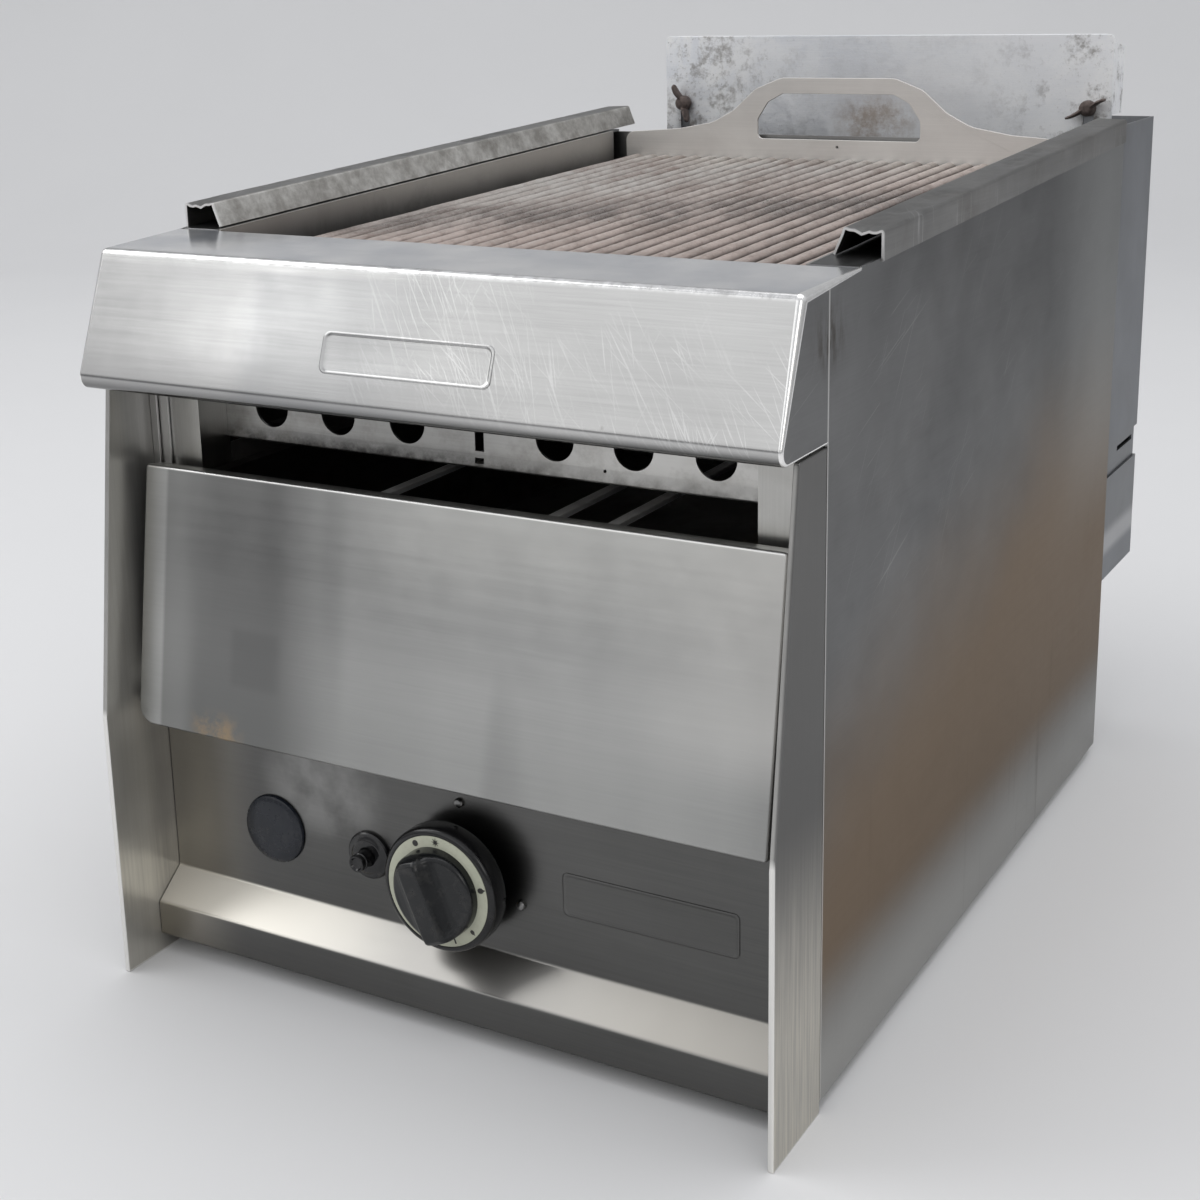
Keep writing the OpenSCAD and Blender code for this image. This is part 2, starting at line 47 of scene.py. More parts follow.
class Mat:
    """A small builder for procedural materials."""

    def __init__(self, name):
        self.m = bpy.data.materials.new(name)
        self.m.use_nodes = True
        self.t = self.m.node_tree
        self.t.nodes.clear()
        self.out = self.t.nodes.new("ShaderNodeOutputMaterial")
        self.b = self.t.nodes.new("ShaderNodeBsdfPrincipled")
        self.t.links.new(self.b.outputs[0], self.out.inputs[0])
        self.co = self.t.nodes.new("ShaderNodeTexCoord").outputs["Object"]

    def node(self, kind, **kw):
        n = self.t.nodes.new(kind)
        for k, v in kw.items():
            setattr(n, k, v)
        return n

    def link(self, a, b):
        self.t.links.new(a, b)

    def mapping(self, scale=(1, 1, 1), rot=(0, 0, 0), loc=(0, 0, 0), src=None):
        n = self.node("ShaderNodeMapping")
        n.inputs["Scale"].default_value = scale
        n.inputs["Rotation"].default_value = rot
        n.inputs["Location"].default_value = loc
        self.link(src or self.co, n.inputs["Vector"])
        return n.outputs[0]

    def noise(self, scale=10, detail=4, rough=0.5, stretch=(1, 1, 1), rot=(0, 0, 0), loc=(0, 0, 0), distort=0.0):
        n = self.node("ShaderNodeTexNoise")
        n.inputs["Scale"].default_value = scale
        n.inputs["Detail"].default_value = detail
        n.inputs["Roughness"].default_value = rough
        n.inputs["Distortion"].default_value = distort
        src = self.mapping((1, 1, 1), rot) if any(rot) else None
        self.link(self.mapping(stretch, (0, 0, 0), loc, src), n.inputs["Vector"])
        return n.outputs["Fac"]

    def voronoi(self, scale=10, stretch=(1, 1, 1), rot=(0, 0, 0), feature="F1"):
        n = self.node("ShaderNodeTexVoronoi", feature=feature)
        n.inputs["Scale"].default_value = scale
        self.link(self.mapping(stretch, rot), n.inputs["Vector"])
        return n.outputs["Distance"]

    def ramp(self, fac, stops):
        n = self.node("ShaderNodeValToRGB")
        e = n.color_ramp.elements
        while len(e) < len(stops):
            e.new(0.5)
        for k, (p, c) in enumerate(stops):
            e[k].position = p
            e[k].color = (c, c, c, 1) if isinstance(c, (int, float)) else (*c, 1)
        self.link(fac, n.inputs[0])
        return n.outputs[0]

    def math(self, op, a, b=None, clamp=False):
        n = self.node("ShaderNodeMath", operation=op, use_clamp=clamp)
        for i, v in enumerate((a, b)):
            if v is None:
                continue
            if isinstance(v, (int, float)):
                n.inputs[i].default_value = v
            else:
                self.link(v, n.inputs[i])
        return n.outputs[0]

    def mix(self, fac, a, b, kind="MIX"):
        n = self.node("ShaderNodeMix", data_type="RGBA", blend_type=kind)
        for s, v in ((n.inputs[0], fac), (n.inputs[6], a), (n.inputs[7], b)):
            if isinstance(v, (int, float)):
                s.default_value = v if s.type == "VALUE" else (v, v, v, 1)
            elif isinstance(v, tuple):
                s.default_value = (*v, 1)
            else:
                self.link(v, s)
        return n.outputs[2]

    def xyz(self):
        n = self.node("ShaderNodeSeparateXYZ")
        self.link(self.co, n.inputs[0])
        return n.outputs

    def map(self, v, a, b, c=0.0, d=1.0, smooth=False):
        n = self.node("ShaderNodeMapRange")
        n.interpolation_type = "SMOOTHSTEP" if smooth else "LINEAR"
        for i, x in enumerate((a, b, c, d)):
            n.inputs[i + 1].default_value = x
        self.link(v, n.inputs[0])
        return n.outputs[0]

    def bump(self, height, strength=0.3, dist=0.0005, normal=None):
        n = self.node("ShaderNodeBump")
        n.inputs["Strength"].default_value = strength
        n.inputs["Distance"].default_value = dist
        self.link(height, n.inputs["Height"])
        if normal is not None:
            self.link(normal, n.inputs["Normal"])
        return n.outputs[0]

    def set(self, color=None, rough=None, metallic=None, normal=None, **kw):
        for key, v in (("Base Color", color), ("Roughness", rough), ("Metallic", metallic), ("Normal", normal)):
            if v is None:
                continue
            s = self.b.inputs[key]
            if isinstance(v, (int, float)):
                s.default_value = v
            elif isinstance(v, tuple):
                s.default_value = (*v, 1)
            else:
                self.link(v, s)
        for k, v in kw.items():
            self.b.inputs[k.replace("_", " ")].default_value = v
        return self.m


AX = {"x": (0.02, 1, 1), "y": (1, 0.02, 1), "z": (1, 1, 0.02)}


def steel(name, base, rough=0.3, brush="x", tint=(1.0, 0.995, 0.98), blotch=0.10, grain=0.10, wave=0.25,
          scratches=0.0, fan=(), plane="xz", where=None, grime=0.0, grime_col=(0.13, 0.10, 0.07), spots=0.0,
          edge=0.75, metal=1.0, extra=None):
    """Worn brushed stainless: fine grain along one axis, soft blotches, sheet waviness, scratches and grime."""
    m = Mat(name)
    st = AX[brush]
    fine = m.noise(1100, 2, 0.5, st)
    mid = m.noise(260, 3, 0.55, st, loc=(0.3, 0.7, 0.1))
    big = m.noise(9, 4, 0.5, distort=0.5)
    cloud = m.noise(34, 6, 0.62, loc=(3, 1, 7))
    v = m.math("ADD", m.math("MULTIPLY", m.math("SUBTRACT", fine, 0.5), grain * 2.0), 1.0)
    v2 = m.math("MULTIPLY", m.math("SUBTRACT", mid, 0.5), grain * 1.6)
    v3 = m.math("MULTIPLY", m.math("SUBTRACT", big, 0.5), blotch * 2.6)
    v4 = m.math("MULTIPLY", m.math("SUBTRACT", cloud, 0.5), blotch * 1.3)
    v = m.math("ADD", m.math("ADD", v, v2), m.math("ADD", v3, v4))
    col = m.mix(1.0, tuple(base * c for c in tint), v, "MULTIPLY")
    r = m.math("ADD", m.math("MULTIPLY", m.math("SUBTRACT", mid, 0.5), 0.10), rough)
    r = m.math("ADD", r, m.math("MULTIPLY", m.math("SUBTRACT", cloud, 0.5), 0.16))
    h = m.math("MULTIPLY", mid, 1.0)
    if scratches:
        tot = None
        for k, (deg, dens) in enumerate(fan):
            a = math.radians(deg)
            if plane == "xz":
                rot = (0, a, 0)
                st2 = (1, 0.016, 0.016)
            elif plane == "yz":
                rot = (a, 0, 0)
                st2 = (0.016, 1, 0.016)
            else:
                rot = (0, 0, a)
                st2 = (1, 0.016, 0.016)
            q = m.noise(1050 + 90 * k, 1, 0.3, st2, rot, (k * 3.1, 1.7 * k, 0.3))
            q = m.ramp(q, [(dens - 0.012, 0.0), (dens + 0.012, 1.0)])
            tot = q if tot is None else m.math("MAXIMUM", tot, q)
        area = m.ramp(m.noise(13, 3, 0.5, loc=(1.2, 0, 0.4)), [(0.40, 0.0), (0.60, 1.0)])
        tot = m.math("MULTIPLY", m.math("MULTIPLY", tot, area), scratches)
        if where:
            tot = m.math("MULTIPLY", tot, where(m))
        col = m.mix(tot, col, (0.95, 0.95, 0.94))
        r = m.math("ADD", r, m.math("MULTIPLY", tot, 0.2))
    if spots:
        sp = m.ramp(m.voronoi(70), [(0.0, 1.0), (0.10, 0.0)])
        sp = m.math("MULTIPLY", sp, m.ramp(m.noise(16, 2), [(0.56, 0.0), (0.66, spots)]))
        col = m.mix(sp, col, (0.10, 0.085, 0.06))
        r = m.math("ADD", r, m.math("MULTIPLY", sp, 0.4))
    if grime:
        g = m.noise(14, 7, 0.68, loc=(5, 2, 9), distort=0.5)
        g = m.ramp(g, [(0.50, 0.0), (0.74, 1.0)])
        g = m.math("MULTIPLY", g, grime)
        col = m.mix(g, col, grime_col)
        r = m.math("ADD", r, m.math("MULTIPLY", g, 0.25))
    if extra:
        col, r, h = extra(m, col, r, h)
    r = m.math("MINIMUM", r, 0.26) if rough < 0.25 else m.math("MAXIMUM", r, 0.288)
    nb = m.bump(h, 0.05, 0.00004)
    nb = m.bump(m.noise(6.5, 3, 0.5, loc=(9, 4, 1)), wave, 0.006, nb)
    m.b.inputs["Specular Tint"].default_value = (edge, edge, edge, 1)
    return m.set(col, r, getattr(m, "metal", metal), nb)


def x_fade(m, lo, hi, axis=0):
    return m.map(m.xyz()[axis], lo, hi, smooth=True)


def door_extra(m, col, r, h):
    x, y, z = m.xyz()
    # painted reflection in soft vertical zones: a light strip at the left edge, then dark, then gradually lighter
    dark = m.map(x, -0.105, -0.045, 1, 0, smooth=True)
    dark2 = m.map(x, -0.060, 0.060, 1, 0, smooth=True)
    strip = m.map(x, -0.1745, -0.1715, 1, 0, smooth=True)
    k = m.math("MULTIPLY", dark, m.map(strip, 0, 1, 1, 0))
    k = m.math("MULTIPLY", k, m.map(z, 0.16, 0.23, 0.80, 0.66))
    col = m.mix(k, col, (0.125, 0.125, 0.122))
    col = m.mix(m.math("MULTIPLY", dark2, 0.14), col, (0.14, 0.14, 0.14))
    zones = m.noise(16, 2, 0.4, (1, 0.1, 0.10), loc=(0.7, 0, 0))
    col = m.mix(m.math("MULTIPLY", m.map(zones, 0.50, 0.66, smooth=True), 0.22), col, (0.62, 0.62, 0.60))
    col = m.mix(m.math("MULTIPLY", m.map(zones, 0.46, 0.34, smooth=True), 0.25), col, (0.14, 0.14, 0.14))
    # painted shade: darker towards the bottom
    low = m.map(z, 0.150, 0.215, 1, 0, smooth=True)
    col = m.mix(m.math("MULTIPLY", low, 0.35), col, (0.15, 0.155, 0.15))
    # dull patch and a brown stain at the lower left
    px = m.math("MULTIPLY", m.map(x, -0.128, -0.122, smooth=True), m.map(x, -0.098, -0.090, 1, 0, smooth=True))
    pz = m.math("MULTIPLY", m.map(z, 0.176, 0.182, smooth=True), m.map(z, 0.206, 0.212, 1, 0, smooth=True))
    col = m.mix(m.math("MULTIPLY", m.math("MULTIPLY", px, pz), 0.22), col, (0.10, 0.10, 0.10))
    sx = m.map(x, -0.130, -0.112, 1, 0, smooth=True)
    sx = m.math("MULTIPLY", sx, m.map(x, -0.156, -0.140, smooth=True))
    sz = m.map(z, 0.151, 0.166, 1, 0, smooth=True)
    st = m.math("MULTIPLY", m.math("MULTIPLY", sx, sz), m.map(m.noise(90, 5, 0.65), 0.42, 0.62))
    col = m.mix(m.math("MULTIPLY", st, 0.7), col, (0.45, 0.33, 0.20))
    r = m.math("ADD", r, m.math("MULTIPLY", st, 0.25))
    # painted reflection: lighter across the top middle and at the right end
    up = m.math("MULTIPLY", m.map(z, 0.225, 0.285, 0, 1, smooth=True), m.map(x, -0.08, 0.02, 0, 1, smooth=True))
    col = m.mix(m.math("MULTIPLY", up, 0.55), col, (0.74, 0.735, 0.70))
    rt = m.math("MULTIPLY", m.map(x, 0.09, 0.19, 0, 1, smooth=True), m.map(z, 0.17, 0.21, 0, 1, smooth=True))
    col = m.mix(m.math("MULTIPLY", rt, 0.5), col, (0.76, 0.745, 0.71))
    # painted highlight along the top hem
    hem = m.map(z, 0.2880, 0.2892, 0, 1, smooth=True)
    col = m.mix(m.math("MULTIPLY", hem, 0.7), col, (0.88, 0.88, 0.86))
    return col, r, h


def side_extra(m, col, r, h):
    x, y, z = m.xyz()
    nz = m.math("MULTIPLY", m.math("SUBTRACT", m.noise(5, 4, 0.6), 0.5), 0.10)
    # warm tone low down, bounded by a slant, with drip streaks; colder tone above
    lim = m.math("ADD", m.math("ADD", z, nz), m.math("MULTIPLY", y, -0.22))
    warm = m.map(lim, 0.17, 0.30, 1, 0, smooth=True)
    warm = m.math("MULTIPLY", warm, m.map(z, 0.03, 0.09, 0.1, 1, smooth=True))
    warm = m.math("MULTIPLY", warm, m.map(x, -0.1, 0.1, 0.35, 0.85))
    col = m.mix(warm, col, (0.325, 0.245, 0.175))
    # painted reflection of the floor: lighter at the bottom
    low = m.map(z, 0.02, 0.085, 1, 0, smooth=True)
    col = m.mix(m.math("MULTIPLY", low, 0.75), col, (0.68, 0.68, 0.66))
    # painted light: lighter towards the back and the top
    back = m.math("MULTIPLY", m.map(y, 0.06, 0.20, 0, 1, smooth=True), m.map(z, 0.16, 0.26, 0, 1, smooth=True))
    col = m.mix(m.math("MULTIPLY", back, 0.5), col, (0.55, 0.56, 0.55))
    drips = m.noise(150, 3, 0.6, (1, 1, 0.04), loc=(2, 6, 1))
    drips = m.ramp(drips, [(0.60, 0.0), (0.78, 1.0)])
    drips = m.math("MULTIPLY", drips, m.map(z, 0.12, 0.24, 1, 0, smooth=True))
    drips = m.math("MULTIPLY", drips, m.map(y, -0.14, 0.10, 0.15, 1, smooth=True))
    col = m.mix(m.math("MULTIPLY", drips, 0.40), col, (0.10, 0.080, 0.060))
    # rubbed brown marks behind the hood's corner
    rub = m.map(m.math("ABSOLUTE", m.math("ADD", y, 0.272)), 0.0, 0.028, 1, 0, smooth=True)
    rub = m.math("MULTIPLY", rub, m.map(m.math("ABSOLUTE", m.math("SUBTRACT", z, 0.385)), 0.0, 0.022, 1, 0, smooth=True))
    rub = m.math("MULTIPLY", rub, m.map(m.noise(200, 5, 0.7, (1, 1, 0.3)), 0.42, 0.62))
    col = m.mix(m.math("MULTIPLY", rub, 0.7), col, (0.06, 0.045, 0.03))
    # painted highlight along the hem line
    hem = m.map(m.math("ABSOLUTE", m.math("ADD", y, 0.2723)), 0.0003, 0.0010, 1, 0)
    col = m.mix(m.math("MULTIPLY", hem, 0.7), col, (0.85, 0.84, 0.82))
    return col, r, h


def cheek_extra(m, col, r, h):
    x, y, z = m.xyz()
    streak = m.noise(420, 4, 0.65, (1, 1, 0.03), loc=(4, 4, 4))
    low = m.map(z, 0.045, 0.17, 1, 0, smooth=True)
    # painted reflection on the outer face of the right cheek: dark above, light below, streaked by noise
    outer = m.map(x, 0.1985, 0.1995, 0, 1)
    up = m.math("MULTIPLY", outer, m.map(low, 0, 1, 1, 0))
    col = m.mix(m.math("MULTIPLY", up, 0.75), col, (0.10, 0.10, 0.10))
    lo_k = m.math("MULTIPLY", m.math("MULTIPLY", outer, low), m.map(streak, 0.38, 0.62, 0.45, 1.0))
    col = m.mix(m.math("MULTIPLY", lo_k, 0.9), col, (0.80, 0.765, 0.68))
    # painted light and shade on the inner face of the left cheek: lit and less metallic along the front, shaded towards
    # the back and just below the drawer
    inn = m.math("MULTIPLY", m.map(x, -0.1972, -0.1966, 0, 1), m.map(x, -0.19, -0.18, 1, 0))
    sl = m.math("ADD", y, m.math("MULTIPLY", m.math("SUBTRACT", m.noise(9, 3, 0.5), 0.5), 0.012))
    frontk = m.math("MULTIPLY", inn, m.map(sl, -0.306, -0.292, 1, 0, smooth=True))
    m.metal = m.math("SUBTRACT", 0.80, m.math("MULTIPLY", frontk, 0.40))
    col = m.mix(m.math("MULTIPLY", frontk, 0.85), col, m.mix(m.map(streak, 0.35, 0.65), (0.92, 0.88, 0.76), (1.0, 0.97, 0.86)))
    dk = m.math("MULTIPLY", m.map(z, 0.078, 0.112, smooth=True), m.map(z, 0.128, 0.150, 1, 0, smooth=True))
    dk = m.math("MULTIPLY", m.math("MULTIPLY", inn, dk), m.map(y, -0.327, -0.318, 0.2, 1, smooth=True))
    col = m.mix(m.math("MULTIPLY", dk, 0.72), col, (0.13, 0.13, 0.12))
    # painted light: a light band low on the inner face
    bz = m.math("MULTIPLY", m.map(z, 0.030, 0.046, smooth=True), m.map(z, 0.062, 0.082, 1, 0, smooth=True))
    col = m.mix(m.math("MULTIPLY", m.math("MULTIPLY", inn, bz), m.map(streak, 0.35, 0.6, 0.45, 1.0)), col, (1.0, 0.97, 0.86))
    ft = m.math("MULTIPLY", inn, m.map(z, 0.018, 0.030, 1, 0, smooth=True))
    col = m.mix(m.math("MULTIPLY", ft, 0.5), col, (0.30, 0.27, 0.21))
    # painted highlight along the front and bottom edges
    rim = m.math("MAXIMUM", m.map(y, -0.3278, -0.3272, 1, 0), m.map(z, 0.0006, 0.0014, 1, 0))
    col = m.mix(m.math("MULTIPLY", rim, 0.8), col, (0.92, 0.91, 0.88))
    return col, r, h


def hood_extra(m, col, r, h):
    x, y, z = m.xyz()
    # painted highlight along the front top bend, broken into nicks by noise; painted shade on the rolled lip
    edge = m.map(m.math("ABSOLUTE", m.math("SUBTRACT", z, 0.4068)), 0.0004, 0.0024, 1, 0, smooth=True)
    edge = m.math("MULTIPLY", edge, m.map(y, -0.298, -0.296, 1, 0))
    edge = m.math("MULTIPLY", edge, m.map(m.noise(120, 4, 0.7), 0.35, 0.6, 0.15, 1.0))
    col = m.mix(m.math("MULTIPLY", edge, 0.75), col, (0.97, 0.97, 0.96))
    lip = m.map(z, 0.3390, 0.3440, 1, 0, smooth=True)
    col = m.mix(m.math("MULTIPLY", lip, 0.78), col, (0.10, 0.10, 0.098))
    # painted reflection: the left part of the face darker
    face = m.map(z, 0.404, 0.400, 0, 1, smooth=True)
    lft = m.math("MULTIPLY", face, m.map(x, -0.09, -0.04, 1, 0, smooth=True))
    col = m.mix(m.math("MULTIPLY", lft, 0.35), col, (0.30, 0.30, 0.30))
    # painted light: the hood's top plate lighter and a little less metallic than its face
    top = m.math("MULTIPLY", m.map(z, 0.4070, 0.4080, 0, 1, smooth=True), m.map(y, -0.2985, -0.2965, 0, 1, smooth=True))
    m.metal = m.math("SUBTRACT", 1.0, m.math("MULTIPLY", top, 0.22))
    col = m.mix(m.math("MULTIPLY", top, m.map(x, -0.15, 0.0, 1.0, 0.75)), col, m.mix(m.map(m.noise(26, 5, 0.6), 0.35, 0.65), (0.68, 0.70, 0.74), (0.97, 0.97, 0.97)))
    # darker band low on the face, left
    dull = m.math("MULTIPLY", m.map(z, 0.345, 0.365, 1, 0, smooth=True), m.map(x, 0.02, 0.10, 1, 0, smooth=True))
    col = m.mix(m.math("MULTIPLY", dull, 0.22), col, (0.20, 0.20, 0.20))
    # painted reflection: a darker zone in the middle of the face
    mid = m.math("MULTIPLY", m.map(x, -0.105, -0.085, 0, 1, smooth=True), m.map(x, -0.035, 0.03, 1, 0, smooth=True))
    mid = m.math("MULTIPLY", mid, face)
    col = m.mix(m.math("MULTIPLY", mid, 0.26), col, (0.20, 0.21, 0.22))
    return col, r, h


def panel_extra(m, col, r, h):
    x, y, z = m.xyz()
    # painted reflection on the sloped ledge: light and warm at the left end and less metallic there, dark in the middle
    # where the knob is reflected, mid grey at the right
    led = m.math("MULTIPLY", m.map(z, 0.0305, 0.0325, smooth=True), m.map(z, 0.0455, 0.0475, 1, 0, smooth=True))
    lc = m.mix(m.map(x, -0.16, -0.02, 0, 1, smooth=True), (1.0, 0.96, 0.86), (0.36, 0.35, 0.33))
    lc = m.mix(m.map(x, 0.02, 0.15, 0, 1, smooth=True), lc, (0.46, 0.44, 0.40))
    col = m.mix(m.math("MULTIPLY", led, 0.93), col, lc)
    # lighter cloud between the plug and the igniter; the warmer, lighter left end is a painted reflection of the left
    # cheek
    dx = m.math("DIVIDE", m.math("ADD", x, 0.088), 0.035)
    dz = m.math("DIVIDE", m.math("SUBTRACT", z, 0.116), 0.026)
    cl = m.math("ADD", m.math("MULTIPLY", dx, dx), m.math("MULTIPLY", dz, dz))
    cl = m.math("MULTIPLY", m.map(cl, 0.1, 1.8, 1, 0, smooth=True), m.map(m.noise(30, 4, 0.6), 0.3, 0.6))
    col = m.mix(m.math("MULTIPLY", cl, 0.38), col, (0.42, 0.42, 0.41))
    left = m.map(x, -0.20, -0.13, 1, 0, smooth=True)
    col = m.mix(m.math("MULTIPLY", left, 0.60), col, (0.52, 0.48, 0.41))
    m.metal = m.math("SUBTRACT", 1.0, m.math("MULTIPLY", led, m.map(x, -0.12, -0.02, 0.62, 0.12, smooth=True)))
    return col, r, h


def rail_extra(m, col, r, h):
    x, y, z = m.xyz()
    # painted light on the left rail's inner face, lighter and less metallic, mottled with brownish grime
    inner = m.map(x, -0.1835, -0.1815, 0, 1, smooth=True)
    inner = m.math("MULTIPLY", inner, m.map(x, -0.17, -0.10, 1, 0))
    col = m.mix(m.math("MULTIPLY", inner, 0.6), col, m.mix(m.map(m.noise(55, 6, 0.7), 0.40, 0.62), (0.34, 0.32, 0.285), (0.78, 0.765, 0.72)))
    m.metal = m.math("SUBTRACT", 1.0, m.math("MULTIPLY", inner, 0.25))
    # painted highlight on the rails' front end edges
    front = m.math("MAXIMUM", m.map(y, -0.2288, -0.2275, 1, 0), m.math("MULTIPLY", m.map(x, 0, 0.1), m.map(y, -0.2108, -0.2095, 1, 0)))
    col = m.mix(m.math("MULTIPLY", front, 0.7), col, (0.95, 0.94, 0.92))
    return col, r, h


def flue_extra(m, col, r, h):
    x, y, z = m.xyz()
    # painted light: a lighter band on the flue, with a painted highlight (glint) below it
    lighter = m.math("MULTIPLY", m.map(z, 0.150, 0.170, 0, 1, smooth=True), m.map(z, 0.215, 0.232, 1, 0, smooth=True))
    col = m.mix(m.math("MULTIPLY", lighter, 0.35), col, (0.34, 0.345, 0.34))
    glint = m.math("MULTIPLY", m.map(z, 0.142, 0.150, 0, 1, smooth=True), m.map(z, 0.156, 0.166, 1, 0, smooth=True))
    col = m.mix(m.math("MULTIPLY", glint, 0.6), col, (0.80, 0.80, 0.80))
    return col, r, h


M = {}
FAN = ((28, 0.685), (38, 0.70), (17, 0.705), (33, 0.70), (-24, 0.73), (55, 0.72))
# the casing parts are one stainless steel; their different base values, darkest on the control panel and lightest on
# the hood, door and jamb, are painted light and shade
M["hood"] = steel("worn_steel_hood", 0.52, 0.18, "x", scratches=0.30, fan=FAN, where=lambda m: m.map(m.xyz()[0], -0.05, 0.03, 0.18, 1.0, smooth=True), spots=0.25, wave=0.14, blotch=0.09, extra=hood_extra)
M["weld"] = steel("polished_weld", 0.92, 0.22, "z", blotch=0.12, wave=0.1, edge=1.0)
M["side"] = steel("worn_steel_side", 0.25, 0.30, "y", tint=(0.99, 0.995, 1.0), blotch=0.26, grain=0.07, grime=0.05, wave=0.16, edge=0.45, scratches=0.16, fan=((70, 0.745), (35, 0.75)), plane="yz", extra=side_extra)
M["cheek"] = steel("worn_steel_cheek", 0.42, 0.30, "z", tint=(1.0, 0.985, 0.95), blotch=0.16, wave=0.14, edge=0.5, metal=0.72, extra=cheek_extra)
M["panel"] = steel("worn_steel_panel", 0.120, 0.27, "x", tint=(1.0, 0.995, 0.97), blotch=0.10, wave=0.12, spots=0.15, edge=0.6, extra=panel_extra)
M["door"] = steel("satin_steel_door", 0.49, 0.31, "x", tint=(1.0, 1.0, 0.975), blotch=0.05, wave=0.10, grain=0.07, extra=door_extra)
M["rail"] = steel("worn_steel_rail", 0.36, 0.32, "y", tint=(1.0, 0.99, 0.97), blotch=0.30, grime=0.25, wave=0.25, scratches=0.3, fan=((15, 0.70), (-30, 0.71)), plane="xy", edge=0.5, extra=rail_extra)
M["jamb"] = steel("steel_jamb", 0.48, 0.31, "z", tint=(1.0, 0.99, 0.95), blotch=0.15, grime=0.15, edge=0.6)
M["frame"] = steel("plain_steel", 0.34, 0.34, "x", blotch=0.15, grime=0.20)
M["flue"] = steel("dull_steel_flue", 0.37, 0.34, "z", tint=(0.96, 0.99, 1.04), blotch=0.18, grime=0.10, wave=0.2, edge=0.5, extra=flue_extra)


def baffle_extra(m, col, r, h):
    x, y, z = m.xyz()
    soot = m.map(z, 0.297, 0.309, 1, 0, smooth=True)
    soot = m.math("MULTIPLY", soot, m.map(m.noise(130, 6, 0.7), 0.30, 0.62))
    col = m.mix(m.math("MULTIPLY", soot, 0.85), col, (0.035, 0.032, 0.030))
    # painted light: lighter towards the right
    rt = m.map(x, -0.02, 0.10, 0, 1, smooth=True)
    col = m.mix(m.math("MULTIPLY", rt, 0.6), col, (0.80, 0.79, 0.76))
    oil = m.map(m.noise(45, 6, 0.7, loc=(7, 7, 2)), 0.50, 0.70)
    col = m.mix(m.math("MULTIPLY", oil, 0.35), col, (0.12, 0.105, 0.085))
    return col, m.math("ADD", r, m.math("MULTIPLY", soot, 0.3)), h


M["baffle"] = steel("sooty_baffle", 0.36, 0.34, "x", tint=(1.0, 0.99, 0.96), blotch=0.25, grime=0.35, spots=0.9, extra=baffle_extra)


def liner_extra(m, col, r, h):
    x, y, z = m.xyz()
    # painted light: the liner walls lighter near the top
    top = m.map(z, 0.395, 0.425, 0, 1, smooth=True)
    col = m.mix(m.math("MULTIPLY", top, 0.9), col, (0.62, 0.60, 0.565))
    return col, r, h


M["soot"] = steel("sooted_steel", 0.17, 0.55, "z", tint=(1.0, 0.97, 0.93), blotch=0.5, grime=0.7, grime_col=(0.03, 0.027, 0.024), extra=liner_extra)
M["tray"] = steel("greasy_tray", 0.20, 0.30, "y", tint=(1.0, 0.97, 0.92), blotch=0.3, grime=0.6, grime_col=(0.05, 0.04, 0.03))
M["burner"] = steel("heat_tinted_steel", 0.24, 0.45, "y", tint=(1.1, 0.95, 0.8), blotch=0.4, grime=0.4)
M["handle"] = steel("warm_dull_steel", 0.74, 0.42, "x", tint=(1.02, 0.99, 0.95), blotch=0.10, grain=0.05, grime=0.08, wave=0.1, metal=0.7)
# painted light: the tie bars get a near-white base so that they look lit
M["bars"] = steel("tie_bar_steel_painted_light", 0.92, 0.35, "y", blotch=0.2, grime=0.25, metal=0.8)
M["zinc"] = steel("zinc_plated", 0.55, 0.38, "z", tint=(1.0, 1.0, 1.03), blotch=0.15, grime=0.1)
M["pin"] = steel("dull_pin_steel", 0.22, 0.33, "z", blotch=0.2)
M["brass"] = steel("machined_brass", 0.72, 0.30, "y", tint=(1.0, 0.76, 0.36), blotch=0.2, grime=0.25)
M["copper"] = steel("drawn_copper", 0.70, 0.30, "y", tint=(1.0, 0.52, 0.34), blotch=0.25, grime=0.35, grime_col=(0.10, 0.05, 0.03))


